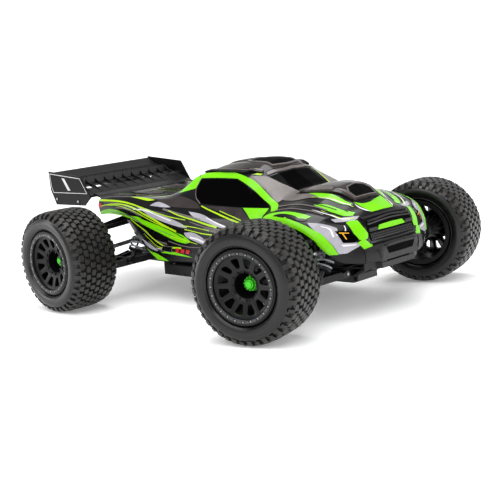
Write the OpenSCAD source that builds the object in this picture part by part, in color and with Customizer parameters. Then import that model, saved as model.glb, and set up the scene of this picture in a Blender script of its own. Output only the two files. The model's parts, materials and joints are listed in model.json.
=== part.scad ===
// Large-scale radio-controlled stadium truck, built as an assembly of separate pieces.
// Frame: +X forward, +Y to the truck's left, +Z up. Origin on the ground plane, at the middle of the bounding box.
// Units: millimetres and degrees.

/* [Stance] */
// X position of the front axle line
front_axle_x = 285; // [283:0.5:287]
// X position of the rear axle line
rear_axle_x = -197; // [-199:0.5:-195]
// Distance between the middle planes of a pair of wheels, with the wheels straight
track = 490; // [488:1:492]
// Angle of the front wheels to the left in the rest position
steer_rest = 15; // [10:1:15]

/* [Wheels] */
// Outer diameter of a tyre
tyre_d = 190; // [186:1:192]
// Width of a tyre over its sidewalls
tyre_w = 99; // [96:0.5:100]
// Number of windows in a wheel disc
windows = 12; // [8:1:12]

/* [Suspension] */
// Drop of each arm from its inner pivot to its outer pivot
arm_drop = 10; // [9:0.5:11]
// Radius of the arm hinge pins
pin_r = 2.0; // [1.9:0.05:2.1]
// Radial clearance of the arms on their hinge pins
arm_clear = 0.06; // [0.04:0.01:0.1]
// Outer radius of a shock spring
spring_r = 14.8; // [14:0.1:15]
// Number of turns in a shock spring
spring_turns = 6; // [5:1:7]

/* [Drive] */
// Teeth on the spur gear
spur_teeth = 46; // [42:1:48]
// Teeth on the motor pinion
pinion_teeth = 20; // [17:1:22]

/* [Body shell] */
// Wall thickness of the body shell
shell_t = 2; // [1.5:0.1:2.4]

/* [Hidden] */
$fn = 48;

xf = front_axle_x;
xr = rear_axle_x;
hub_z = tyre_d/2;            // axle height
wheel_y = track/2;           // wheel middle plane
king_y = 201;                // kingpin axis and outer pivots
inner_y = 58;                // inner pivots
bore_r = pin_r + arm_clear;
arm_run = king_y - inner_y;
slope = atan(arm_drop/arm_run);
arm_len = sqrt(arm_run*arm_run + arm_drop*arm_drop);
low_in_z = 72;   low_out_z = low_in_z - arm_drop;
up_in_z = 146;   up_out_z = up_in_z - arm_drop;
shaft_in_z = hub_z + arm_drop;
tie_in_z = 132;  tie_out_z = tie_in_z - arm_drop;
// shocks
sx_f = 34; sx_r = 34;                 // offset ahead of the axle
s_top = [60, 168]; s_bot = [122, 72]; // [y, z]
s_len = sqrt(pow(s_bot[0]-s_top[0],2) + pow(s_top[1]-s_bot[1],2));
s_ang = atan((s_bot[0]-s_top[0])/(s_top[1]-s_bot[1]));
// steering
crank = 28;
v = [-crank*cos(steer_rest), -crank*sin(steer_rest)];
horn_dx = -50; horn_y = 26;
// one-module gears, set a little wider than their pitch circles
gear_gap = (spur_teeth + pinion_teeth)/2 + 0.3;

C_PLASTIC = [0.09,0.09,0.10];
C_GREY = [0.25,0.25,0.26];
C_STEEL = [0.55,0.56,0.58];
C_GREEN = [0.20,0.75,0.10];
C_RUBBER = [0.06,0.06,0.065];

module xcyl(r, x0, x1, y=0, z=0) { translate([x0,y,z]) rotate([0,90,0]) cylinder(r=r, h=x1-x0); }
module ycyl(r, y0, y1, x=0, z=0) { translate([x,y0,z]) rotate([-90,0,0]) cylinder(r=r, h=y1-y0); }
module zcyl(r, z0, z1, x=0, y=0) { translate([x,y,z0]) cylinder(r=r, h=z1-z0); }
module box(a, b) { translate(a) cube([b[0]-a[0], b[1]-a[1], b[2]-a[2]]); }
module side(s) { if (s > 0) children(); else mirror([0,1,0]) children(); }
// turns a left or right front assembly about its kingpin to the rest steering angle, which is the same for both sides
module steered(s) { translate([0,king_y,0]) rotate([0,0,s*steer_rest]) translate([0,-king_y,0]) children(); }
module corner(front, s) { translate([front ? xf : xr, 0, 0]) side(s) children(); }
module wheel_pose(front, s) { corner(front, s) { if (front) steered(s) children(); else children(); } }
// wheel-local frame: axis along +Y, origin at the middle of the wheel
module wheel_local() { translate([0,wheel_y,hub_z]) rotate([-90,0,0]) children(); }

// ---------- wheels ----------
module tyre() {
  color(C_RUBBER) wheel_local() rotate_extrude($fn=96)
    polygon([[57,-41.5],[60.6,-42],[62.5,-47],[75,-tyre_w/2],[86,-tyre_w/2+1],[tyre_d/2-2,-42],[tyre_d/2,-34],
             [tyre_d/2,34],[tyre_d/2-2,42],[86,tyre_w/2-1],[75,tyre_w/2],[62.5,47],[60.6,42],[57,41.5],
             [57,35],[64,37],[75,43],[84,42],[88,35],[88,-35],[84,-42],[75,-43],[64,-37],[57,-35]]);
}
module rim_window(a) {
  rotate([0,0,a]) translate([0,0,15]) linear_extrude(30)
    polygon([[27.5,-2.2],[30,-4],[39,-6.6],[42,-6.2],[43.4,-4],[43.4,4],[42,6.2],[39,6.6],[30,4],[27.5,2.2]]);
}
module rim() {
  color(C_PLASTIC) wheel_local() difference() {
    union() {
      rotate_extrude($fn=96) polygon([[52,-46],[60,-46],[60,-42.6],[56.5,-42.6],[56.5,42.6],[60,42.6],[60,46],[49,46],[49,40],[52,40]]);
      rotate_extrude($fn=96) polygon([[5.2,-13],[15,-13],[17,2],[25,19],[46,28],[53,28],[53,34],[46,34],[22,27],[20,25],[20,9],[5.2,9]]);
    }
    for (i = [0:windows-1]) rim_window(i*360/windows);
    translate([0,0,-13.5]) cylinder(r=12.15, h=6.3, $fn=6);
  }
}
module stub_axle() {
  color(C_GREEN) wheel_local() {
    difference() {                                   // stub axle with its drive cup and hex
      union() {
        translate([0,0,-50]) cylinder(r=9.5, h=14);
        translate([0,0,-37]) cylinder(r=5, h=51.5);
        translate([0,0,-18]) cylinder(r=12, h=10.7, $fn=6);
      }
      translate([0,0,-51]) cylinder(r=7.5, h=13.7);
    }
    difference() {                                   // wheel nut
      union() {
        translate([0,0,9.1]) cylinder(r=12, h=1.9);
        translate([0,0,10.9]) cylinder(r=10, h=5.6, $fn=6);
      }
      translate([0,0,8]) cylinder(r=5.1, h=7.4);
    }
  }
}

// ---------- arms ----------
module arm_frame(z) { translate([0,inner_y,z]) rotate([-slope,0,0]) children(); }
module lower_arm(sx) {
  py = (s_bot[0]-inner_y)*cos(slope) - (s_bot[1]-low_in_z)*sin(slope);
  pz = (s_bot[0]-inner_y)*sin(slope) + (s_bot[1]-low_in_z)*cos(slope);
  color(C_PLASTIC) arm_frame(low_in_z) difference() {
    union() {
      translate([0,0,-4]) linear_extrude(8) difference() {
        polygon([[-42,0],[-42,10],[-13,118],[-8.5,124],[-8.5,arm_len],[8.5,arm_len],[8.5,124],[13,118],[42,10],[42,0],[30.5,0],[30.5,9],[-30.5,9],[-30.5,0]]);
        polygon([[-25,22],[25,22],[17,52],[-17,52]]);
        polygon([[-15.5,59],[15.5,59],[5.5,100],[-5.5,100]]);
      }
      translate([0,0,-6]) linear_extrude(3) polygon([[-42,6],[-38,6],[-8.5,118],[-8.5,124],[-13,118]]);
      translate([0,0,-6]) linear_extrude(3) polygon([[42,6],[38,6],[8.5,118],[8.5,124],[13,118]]);
      xcyl(6, -42, -30.5); xcyl(6, 30.5, 42); xcyl(6, -8.5, 8.5, arm_len, 0);
      xcyl(6, sx-13, sx-6, py, pz);
      box([sx-13, py-6, -3], [sx-6, py+6, pz]);
      xcyl(2, sx-7, sx+7, py, pz);
      xcyl(4, sx+4.8, sx+7, py, pz);
    }
    xcyl(bore_r, -50, 50); xcyl(bore_r, -20, 20, arm_len, 0);
  }
}
module upper_arm() {
  color(C_PLASTIC) arm_frame(up_in_z) difference() {
    union() {
      translate([0,0,-3.5]) linear_extrude(7) difference() {
        polygon([[-38,0],[-38,8],[-12,112],[-8.5,120],[-8.5,arm_len],[8.5,arm_len],[8.5,120],[12.5,8],[12.5,0],[4.5,0],[4.5,8.5],[-28.5,8.5],[-28.5,0]]);
        polygon([[-28,18],[4,18],[2,92],[-9,92]]);
      }
      xcyl(5.5, -38, -28.5); xcyl(5.5, 4.5, 12.5); xcyl(5.5, -8.5, 8.5, arm_len, 0);
    }
    xcyl(bore_r, -50, 30); xcyl(bore_r, -20, 20, arm_len, 0);
  }
}

// ---------- uprights ----------
module ear_pair(z, z0, z1) {
  for (x = [-13.5, 9.3]) difference() {
    union() { box([x, king_y-5.5, z0], [x+4.2, king_y+5.5, z1]); xcyl(5.5, x, x+4.2, king_y, z); }
    xcyl(pin_r+0.05, x-1, x+6, king_y, z);
  }
}
module outer_pins() {
  xcyl(pin_r, -13.4, 13.4, king_y, low_out_z);
  xcyl(pin_r, -13.4, 13.4, king_y, up_out_z);
}
module caster_block() {
  color(C_PLASTIC) union() {
    ear_pair(low_out_z, low_out_z, 74);
    ear_pair(up_out_z, 121, up_out_z);
    difference() {
      box([-12,184,72.2],[12,190,124]);
      ycyl(11, 180, 195, 0, hub_z);
    }
    box([-12,189,72.2],[12,king_y,76.5]); zcyl(13.5, 72.2, 76.5, 0, king_y);
    box([-12,189,119],[12,king_y,124]); zcyl(13.5, 119, 124, 0, king_y);
    zcyl(2.5, 76, 83.5, 0, king_y); zcyl(2.5, 106.5, 119.5, 0, king_y);
  }
  color(C_STEEL) outer_pins();
}
module steering_block(s) {
  color(C_PLASTIC) steered(s) difference() {
    union() {
      zcyl(7, 77.2, 84, 0, king_y); zcyl(7, 106, 118.2, 0, king_y);
      box([-7,king_y,77.2],[7,214,84]); box([-7,king_y,106],[7,214,118.2]);
      ycyl(17, 211, 224, 0, hub_z);
      box([-20,211,92],[-13,222,117.4]);
      box([-33,197.5,112.4],[-15.5,217,117.4]);
    }
    zcyl(2.6, 70, 84.5, 0, king_y); zcyl(2.6, 105.5, 125, 0, king_y);
    ycyl(5.07, 205, 230, 0, hub_z);
  }
  color(C_STEEL) steered(s) { zcyl(1.6, 117.4, tie_out_z, -crank, king_y); translate([-crank,king_y,tie_out_z]) sphere(r=3.2); }
}
module axle_carrier() {
  color(C_PLASTIC) union() {
    ear_pair(low_out_z, low_out_z, 74);
    ear_pair(up_out_z, 121, up_out_z);
    box([-13.5,192,72.2],[13.5,214,77.5]);
    box([-13.5,192,118],[13.5,214,124]);
    difference() {
      union() { ycyl(17, 211, 224, 0, hub_z); box([-13.5,211,72.2],[13.5,216,124]); }
      ycyl(5.07, 205, 230, 0, hub_z);
    }
  }
  color(C_STEEL) outer_pins();
}
module half_shaft() {
  color(C_STEEL) arm_frame(shaft_in_z) {
    ycyl(3, 0, arm_len); ycyl(4, 10, arm_len-14);
    sphere(r=6.3);
    translate([0,arm_len,0]) sphere(r=6.3);
    for (y = [13, 19, 25, 108, 114]) ycyl(7.5, y, y+3.4);
    ycyl(6, 12, 30); ycyl(6, 106, 119);
  }
}

// ---------- shocks ----------
module shock_frame(sx) { translate([sx,s_top[0],s_top[1]]) rotate([s_ang,0,0]) rotate([180,0,0]) children(); }
module shock_body(sx) {
  color(C_GREEN) shock_frame(sx) difference() {
    union() {
      rotate([0,90,0]) translate([0,0,-4]) cylinder(r=6, h=8);
      translate([0,0,3]) cylinder(r=4.5, h=6);
      translate([0,0,7.5]) cylinder(r=10, h=11);
      translate([0,0,18]) cylinder(r=8.5, h=45);
      translate([0,0,22]) cylinder(r=14, h=3.6);
    }
    rotate([0,90,0]) translate([0,0,-6]) cylinder(r=2.1, h=12);
    translate([0,0,20]) cylinder(r=6.6, h=40);
    translate([0,0,55]) cylinder(r=2.08, h=10);
  }
}
module shock_rod(sx) {
  color(C_PLASTIC) shock_frame(sx) difference() {
    union() {
      translate([0,0,40]) cylinder(r=2, h=60);
      translate([0,0,40]) cylinder(r=6.3, h=4);
      translate([0,0,92]) cylinder(r=14, h=3);
      translate([0,0,94]) cylinder(r=4.5, h=s_len-98);
      translate([-4,0,s_len]) rotate([0,90,0]) cylinder(r=6.5, h=8);
    }
    translate([-6,0,s_len]) rotate([0,90,0]) cylinder(r=3.3, h=12);
  }
}
// a coil as a swept polyhedron: rings of m points along a helix
function coil_ring(a, z, r, w, m) = [for (j=[0:m-1]) let(b=360*j/m) [(r+w*cos(b))*cos(a), (r+w*cos(b))*sin(a), z+w*sin(b)]];
module coil(r, w, z0, z1, turns, n=14, m=6) {
  k = turns*n;
  pts = [for (i=[0:k]) each coil_ring(360*i/n, z0+(z1-z0)*i/k, r, w, m)];
  faces = concat([[for (j=[m-1:-1:0]) j]],
    [for (i=[0:k-1]) for (j=[0:m-1]) [i*m+j, i*m+(j+1)%m, (i+1)*m+(j+1)%m, (i+1)*m+j]],
    [[for (j=[0:m-1]) k*m+j]]);
  polyhedron(points=pts, faces=[for (f=faces) [for (i=[len(f)-1:-1:0]) f[i]]]);
}
module shock_spring(sx) {
  color(C_GREY) shock_frame(sx) coil(spring_r-1.6, 1.6, 27.6, 90, spring_turns);
}

// ---------- steering linkage ----------
module crank_arm(y) {
  translate([xf+horn_dx, y, 0]) {
    difference() {
      union() {
        zcyl(8, 114.5, 121.5);
        rotate([0,0,180+steer_rest]) box([0,-4.2,115.5],[crank,4.2,121]);
        zcyl(5, 115.5, 121.5, v[0], v[1]);
      }
      zcyl(3.07, 110, 125);
    }
    zcyl(2, 120.5, 130, v[0], v[1]);
    zcyl(3.6, 128.6, 130.4, v[0], v[1]);
  }
}
module drag_link() {
  color(C_GREY) translate([xf+v[0], v[1], 0]) difference() {
    union() {
      translate([0,0,122.8]) linear_extrude(4.8)
        polygon([[-6,-61.5],[5,-61.5],[5,61.5],[-6,61.5],[-6,38],[horn_dx-7,33],[horn_dx-7,-33],[-6,-38]]);
      for (y=[-inner_y,inner_y]) { zcyl(1.6, 127, tie_in_z, 0, y); translate([0,y,tie_in_z]) sphere(r=3.2); }
    }
    for (y=[-horn_y,horn_y]) zcyl(2.08, 120, 130, horn_dx, y);
    translate([0,0,122]) linear_extrude(8) polygon([[-10,-22],[-10,22],[horn_dx+8,16],[horn_dx+8,-16]]);
  }
}
module tie_rod(s) {
  color(C_GREY) translate([xf+v[0], v[1]+s*inner_y, tie_in_z]) side(s) rotate([-slope,0,0]) difference() {
    union() {
      zcyl(5.5, -2, 2); zcyl(5.5, -2, 2, 0, arm_len);
      ycyl(2.4, 4, arm_len-4);
      ycyl(2, 4, 20); ycyl(3.6, 66, 76, 0, 0);
    }
    zcyl(3.45, -5, 5); zcyl(3.45, -5, 5, 0, arm_len);
  }
}

// ---------- chassis ----------
mid_out = [[-92,58],[-76,114],[150,114],[182,58],[182,-58],[150,-114],[-76,-114],[-92,-58]];
mid_in = [[-86.5,56],[-73,110],[147.5,110],[177.5,56],[177.5,-56],[147.5,-110],[-73,-110],[-86.5,-56]];
module chassis_tub() {
  color(C_PLASTIC) difference() {
    union() {
      difference() {
        translate([0,0,50]) linear_extrude(36) polygon(mid_out);
        translate([0,0,56]) linear_extrude(40) polygon(mid_in);
      }
      translate([0,0,50]) linear_extrude(12) polygon([[178,36],[250,34],[316,30],[316,-30],[250,-34],[178,-36]]);
      translate([0,0,50]) linear_extrude(12) polygon([[-90,36],[-160,32],[-248,28],[-248,-28],[-160,-32],[-90,-36]]);
      for (s=[-1,1]) side(s) {
        translate([0,0,60]) linear_extrude(14) polygon([[-54,116],[-50,132],[140,132],[158,122],[158,116]]);
        for (x=[-44,10,64,118]) box([x,112,61],[x+16,118,73]);
      }
      zcyl(7, 55, 112, xf+horn_dx, -horn_y);
      zcyl(3, 111, 120, xf+horn_dx, -horn_y);
      for (x=[-40,45]) for (s=[-1,1]) side(s) box([x,57,55],[x+14,60.5,100]);
    }
    translate([0,0,44]) linear_extrude(20) polygon([[196,-12],[240,-12],[240,12],[196,12]]);
    xcyl(23.5, -100, -80, -gear_gap, shaft_in_z);
  }
  color(C_STEEL) difference() {
    box([-62,-58,56.05],[-57,12,128]);
    xcyl(7, -70, -50, 0, shaft_in_z);
    xcyl(7, -70, -50, -gear_gap, shaft_in_z);
  }
}
module gear_case(dirx) {
  back = dirx < 0 ? -14 : -20;
  difference() {
    union() {
      box([-29.7,-47,62.2],[29.7,47,80]);
      ycyl(25, -42, 42, 0, shaft_in_z);
      box([-20,-42,76],[20,42,104]);
      box([back,-46,118],[3.7,46,151.5]);
      for (s=[-1,1]) side(s) {
        xcyl(6, -29.7, 29.7, inner_y, low_in_z);
        box([-29.7,44,66],[29.7,inner_y,78]);
        xcyl(5.5, -27.7, 3.7, inner_y, up_in_z);
        box([back,44,141],[3.7,inner_y,151.5]);
        ycyl(9.5, 40, 66, 0, shaft_in_z);
      }
      if (dirx < 0) xcyl(11, -45, 0, 0, shaft_in_z); else xcyl(11, 0, 45, 0, shaft_in_z);
    }
    for (s=[-1,1]) side(s) {
      xcyl(pin_r+0.05, -60, 60, inner_y, low_in_z);
      xcyl(pin_r+0.05, -60, 60, inner_y, up_in_z);
      ycyl(7.5, 50, 70, 0, shaft_in_z);
    }
    if (dirx < 0) xcyl(4.07, -50, -32, 0, shaft_in_z); else xcyl(4.07, 32, 50, 0, shaft_in_z);
  }
}
module inner_pins() {
  for (s=[-1,1]) side(s) {
    xcyl(pin_r, -43, 43, inner_y, low_in_z);
    xcyl(pin_r, -39, 13.5, inner_y, up_in_z);
  }
}
module gear_cases() {
  color(C_PLASTIC) { translate([xf,0,0]) gear_case(-1); translate([xr,0,0]) gear_case(1); }
  color(C_STEEL) { translate([xf,0,0]) inner_pins(); translate([xr,0,0]) inner_pins(); }
}
module shock_tower(sx, post_z, low) {
  difference() {
    union() {
      translate([14.8,0,0]) rotate([90,0,90]) linear_extrude(4.8)
        polygon([[-30,low],[30,low],[42,132],[44,150],[52,162],[66,163],[67,172],[60,176],[26,178],[-26,178],[-60,176],[-67,172],[-66,163],[-52,162],[-44,150],[-42,132]]);
      for (y=[-s_top[0],s_top[0]]) { xcyl(2, 17, sx+7, y, s_top[1]); xcyl(4, sx+4.8, sx+7, y, s_top[1]); xcyl(5, 17, sx-4.8, y, s_top[1]); }
      for (y=[-22,22]) { box([14.8,y-4,170],[22.6,y+4,180]); zcyl(3, 174, post_z, 19, y); }
      box([3.9,-40,132],[15,-20,150]); box([3.9,20,132],[15,40,150]);
    }
    for (y=[-30,0,30]) xcyl(3, 10, 24, y, 160);
    translate([10,0,0]) rotate([90,0,90]) linear_extrude(14) polygon([[-14,128],[14,128],[20,148],[-20,148]]);
  }
}
module shock_towers() {
  color(C_PLASTIC) {
    translate([xf,0,0]) shock_tower(sx_f, 201, 126);
    translate([xr,0,0]) shock_tower(sx_r, 187, 126);
  }
}
module front_bumper() {
  color(C_GREY) {
    difference() {
      translate([296,0,49.8]) rotate([0,-26,0]) linear_extrude(5) difference() {
        polygon([[24,-30],[60,-34],[104,-47],[104,47],[60,34],[24,30]]);
        for (s=[-1,1]) {
          polygon([[62,4*s],[96,4*s],[78,20*s]]);
          polygon([[84,22*s],[98,10*s],[98,36*s]]);
          polygon([[36,5*s],[54,5*s],[54,24*s],[40,22*s]]);
        }
      }
      box([380,-60,90],[392,60,106]);
    }
    difference() {
      translate([0,0,84]) linear_extrude(9) polygon([[378,-48],[390,-44],[390,44],[378,48]]);
      box([370,-30,80],[383,30,100]);
    }
    box([316.1,-26,52],[322,26,64]);
  }
}
module wing_mount() {
  color(C_PLASTIC) {
    for (s=[-1,1]) side(s) translate([0,34,0]) rotate([90,0,0]) linear_extrude(5)
      polygon([[xr-20.3,120],[xr-20.3,150],[-240,148],[-262,160],[-296,206],[-352,214],[-354,206],[-312,190],[-270,132],[-240,118]]);
    box([-240,-30,132],[-234,30,142]);
    box([-300,-30,188],[-294,30,196]);
    difference() { box([-352,-34,206],[-300,34,208.5]); box([-340,-22,200],[-312,22,215]); }
  }
}
plate_pts = [[-394,243],[-285,234],[-258,193],[-280,176],[-377,175],[-392,205]];
module rear_wing() {
  color(C_PLASTIC) {
    for (s=[-1,1]) side(s) translate([0,134.5,0]) rotate([90,0,0]) linear_extrude(3) polygon(plate_pts);
    // main plane, low at the front and turned up at the back
    rotate([90,0,0]) translate([0,0,-131.6]) linear_extrude(263.2)
      polygon([[-262,196],[-270,201],[-300,211],[-330,216],[-360,224],[-380,236],[-391,240.5],[-391,237],[-378,230],[-358,219],[-330,211.5],[-300,208.7],[-270,197.5],[-264,192]]);
    rotate([90,0,0]) translate([0,0,-120]) linear_extrude(240)
      polygon([[-296,212.6],[-322,216],[-322,226],[-318,226],[-316,219],[-298,216]]);
  }
}

// ---------- body shell ----------
// stations along X; each holds the half section from the centre line down to the lower edge, as [y, z]
stations = [
 [-232, [[0,194],[50,194],[96,196],[126,194],[134,188],[136,178],[135,168],[132,160]]],
 [-196, [[0,191],[50,191],[96,196],[128,197],[137,190],[140,180],[139,172],[137,164]]],
 [-156, [[0,191],[50,191],[94,195],[128,198],[139,188],[142,178],[142,170],[140,163]]],
 [-116, [[0,191],[48,191],[92,195],[126,196],[140,182],[143,165],[140,140],[134,116]]],
 [-76,  [[0,193],[46,194],[90,197],[122,194],[140,178],[143,155],[136,112],[128,80]]],
 [-36,  [[0,208],[42,208],[88,208],[118,193],[138,174],[141,150],[134,106],[126,78]]],
 [4,    [[0,238],[40,237],[84,232],[112,192],[134,170],[138,146],[132,104],[124,78]]],
 [44,   [[0,252],[40,250],[82,240],[110,191],[130,168],[135,144],[130,104],[122,78]]],
 [94,   [[0,256],[40,254],[80,240],[110,190],[128,166],[133,142],[129,104],[122,78]]],
 [134,  [[0,256],[40,252],[80,236],[112,188],[128,166],[132,142],[129,104],[122,78]]],
 [156,  [[0,246],[40,242],[80,226],[114,187],[130,168],[134,146],[130,106],[122,78]]],
 [194,  [[0,222],[40,219],[86,208],[116,186],[134,172],[139,150],[136,112],[126,82]]],
 [224,  [[0,208],[40,206],[84,196],[118,186],[140,178],[147,168],[148,150],[146,130]]],
 [259,  [[0,214],[36,212],[80,196],[118,188],[141,182],[148,176],[149,172],[149,169]]],
 [294,  [[0,214],[34,210],[78,192],[116,184],[141,176],[148,170],[149,167],[149,164]]],
 [329,  [[0,195],[34,191],[74,180],[110,174],[136,163],[144,155],[146,151],[145,148]]],
 [344,  [[0,186],[32,183],[70,173],[102,165],[126,152],[136,142],[138,136],[136,130]]],
 [364,  [[0,173],[30,171],[62,166],[80,157],[100,142],[112,125],[114,112],[110,103]]],
 [373,  [[0,163],[28,162],[54,159],[66,151],[80,137],[92,120],[95,108],[95,100]]],
 [382,  [[0,128],[28,128],[50,127],[62,125],[72,120],[76,112],[77,104],[76,98]]],
 [394,  [[0,121],[25,121],[44,120],[48,118],[50,112],[50,104],[49,99],[48,97]]]
];
function outer_ring(s) = concat(
  [for (p=s[1]) [s[0], p[0], p[1]]],
  [for (i=[len(s[1])-1:-1:1]) [s[0], -s[1][i][0], s[1][i][1]]]);
function inner_ring(s, x) = let(n=len(s[1])-1) concat(
  [for (i=[0:n]) [x, i==0 ? 0 : s[1][i][0]-shell_t, s[1][i][1] - (i==n ? 8 : shell_t)]],
  [for (i=[n:-1:1]) [x, -(s[1][i][0]-shell_t), s[1][i][1] - (i==n ? 8 : shell_t)]]);
module loft(rings) {
  m = len(rings[0]); k = len(rings);
  pts = [for (r=rings) each r];
  faces = concat([[for (j=[m-1:-1:0]) j]],
    [for (i=[0:k-2]) for (j=[0:m-1]) each [[i*m+j, (i+1)*m+(j+1)%m, (i+1)*m+j], [i*m+j, i*m+(j+1)%m, (i+1)*m+(j+1)%m]]],
    [[for (j=[0:m-1]) (k-1)*m+j]]);
  polyhedron(points=pts, faces=faces);
}
module body_shell() {
  k = len(stations)-1;
  color([0.35,0.85,0.05]) difference() {
    loft([for (s=stations) outer_ring(s)]);
    loft([for (i=[0:k]) inner_ring(stations[i], i==0 ? stations[0][0]+shell_t : (i==k ? stations[k][0]-shell_t : stations[i][0]))]);
  }
}

// ---------- power train and electronics ----------
// gear profile with tapered teeth and a little backlash
module gear2d(teeth, phase) {
  rp = teeth/2; q = 360/teeth;
  polygon([for (i=[0:teeth-1]) each [
    for (t=[[-0.36,-1.25],[-0.21,0],[-0.09,0.95],[0.09,0.95],[0.21,0],[0.36,-1.25]])
      [(rp+t[1])*cos(i*q+t[0]*q+phase), (rp+t[1])*sin(i*q+t[0]*q+phase)]]]);
}
// gear plane frame: local x to world -Y, local y to world Z, extrusion along world -X
module gear_frame(x, y) { translate([x,y,shaft_in_z]) rotate([0,-90,0]) rotate([0,0,90]) children(); }
module centre_shaft() {
  color(C_STEEL) {
    difference() {
      union() {
        xcyl(4, xr+36, xf-36, 0, shaft_in_z);
        xcyl(7.5, xr+48, xr+64, 0, shaft_in_z); xcyl(7.5, xf-64, xf-48, 0, shaft_in_z);
        gear_frame(-40, 0) linear_extrude(9) gear2d(spur_teeth, 0);
        xcyl(9, -54, -37, 0, shaft_in_z);
      }
      gear_frame(-36, 0) for (a=[0:60:300]) rotate([0,0,a+30]) translate([15,0,0]) cylinder(r=3, h=20);
    }
  }
}
module pinion() {
  color(C_STEEL) {
    gear_frame(-39.5, -gear_gap) linear_extrude(10) gear2d(pinion_teeth, 180 + 180/pinion_teeth);
    xcyl(2.5, -76, -36, -gear_gap, shaft_in_z);
  }
}
module motor() {
  color(C_PLASTIC) translate([0,-gear_gap,shaft_in_z]) difference() {
    union() {
      xcyl(21, -138, -64); xcyl(19, -64, -62.1); xcyl(17, -142, -138);
      for (a=[0:30:330]) rotate([a,0,0]) box([-132,-1.2,20],[-70,1.2,22]);
    }
    xcyl(2.58, -80, -60);
  }
}
module battery_packs() {
  color(C_GREY) for (s=[-1,1]) side(s) union() {
    box([-62,62,56.1],[93,106,94]);
    box([93,70,66],[98,80,84]);
  }
}
module steering_servo() {
  color(C_PLASTIC) difference() {
    union() {
      box([xf+horn_dx-30,16,62.1],[xf+horn_dx+10,36,106]);
      box([xf+horn_dx-38,17,92],[xf+horn_dx+18,35,95]);
      zcyl(9, 105, 109, xf+horn_dx, horn_y);
      zcyl(3, 108, 120, xf+horn_dx, horn_y);
    }
    for (x=[-35,15]) zcyl(2, 90, 97, xf+horn_dx+x, horn_y);
  }
}
module esc_and_receiver() {
  color(C_PLASTIC) {
    difference() { box([108,-56,56.1],[172,-14,88]); for (x=[112:6:166]) box([x,-54,80],[x+3,-16,90]); }
    box([120,-52,88.2],[160,-18,92]);
    box([112,16,56.1],[160,52,78]);
    zcyl(1.5, 77, 96, 156, 46);
  }
}

wheel_pose(true, 1) tyre();  // tyre_fl
wheel_pose(true, -1) tyre();  // tyre_fr
wheel_pose(false, 1) tyre();  // tyre_rl
wheel_pose(false, -1) tyre();  // tyre_rr
wheel_pose(true, 1) rim();  // rim_fl
wheel_pose(true, -1) rim();  // rim_fr
wheel_pose(false, 1) rim();  // rim_rl
wheel_pose(false, -1) rim();  // rim_rr
wheel_pose(true, 1) stub_axle();  // stub_axle_fl
wheel_pose(true, -1) stub_axle();  // stub_axle_fr
wheel_pose(false, 1) stub_axle();  // stub_axle_rl
wheel_pose(false, -1) stub_axle();  // stub_axle_rr
corner(true, 1) lower_arm(sx_f);  // lower_arm_fl
corner(true, -1) lower_arm(sx_f);  // lower_arm_fr
corner(false, 1) lower_arm(sx_r);  // lower_arm_rl
corner(false, -1) lower_arm(sx_r);  // lower_arm_rr
corner(true, 1) upper_arm();  // upper_arm_fl
corner(true, -1) upper_arm();  // upper_arm_fr
corner(false, 1) upper_arm();  // upper_arm_rl
corner(false, -1) upper_arm();  // upper_arm_rr
corner(true, 1) caster_block();  // caster_block_fl
corner(true, -1) caster_block();  // caster_block_fr
corner(true, 1) steering_block(1);  // steering_block_fl
corner(true, -1) steering_block(-1);  // steering_block_fr
corner(false, 1) axle_carrier();  // axle_carrier_rl
corner(false, -1) axle_carrier();  // axle_carrier_rr
corner(true, 1) half_shaft();  // half_shaft_fl
corner(true, -1) half_shaft();  // half_shaft_fr
corner(false, 1) half_shaft();  // half_shaft_rl
corner(false, -1) half_shaft();  // half_shaft_rr
corner(true, 1) shock_body(sx_f);  // shock_body_fl
corner(true, -1) shock_body(sx_f);  // shock_body_fr
corner(false, 1) shock_body(sx_r);  // shock_body_rl
corner(false, -1) shock_body(sx_r);  // shock_body_rr
corner(true, 1) shock_rod(sx_f);  // shock_rod_fl
corner(true, -1) shock_rod(sx_f);  // shock_rod_fr
corner(false, 1) shock_rod(sx_r);  // shock_rod_rl
corner(false, -1) shock_rod(sx_r);  // shock_rod_rr
corner(true, 1) shock_spring(sx_f);  // shock_spring_fl
corner(true, -1) shock_spring(sx_f);  // shock_spring_fr
corner(false, 1) shock_spring(sx_r);  // shock_spring_rl
corner(false, -1) shock_spring(sx_r);  // shock_spring_rr
color(C_GREY) crank_arm(horn_y);  // servo_horn
color(C_GREY) crank_arm(-horn_y);  // idler_crank
drag_link();
tie_rod(1);  // tie_rod_l
tie_rod(-1);  // tie_rod_r
chassis_tub();
gear_cases();
shock_towers();
front_bumper();
wing_mount();
rear_wing();
body_shell();
motor();
pinion();
centre_shaft();
battery_packs();
steering_servo();
esc_and_receiver();
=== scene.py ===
import bpy, bmesh, json, math, random
import numpy as np
from mathutils import Vector, Matrix
from mathutils.bvhtree import BVHTree


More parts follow.
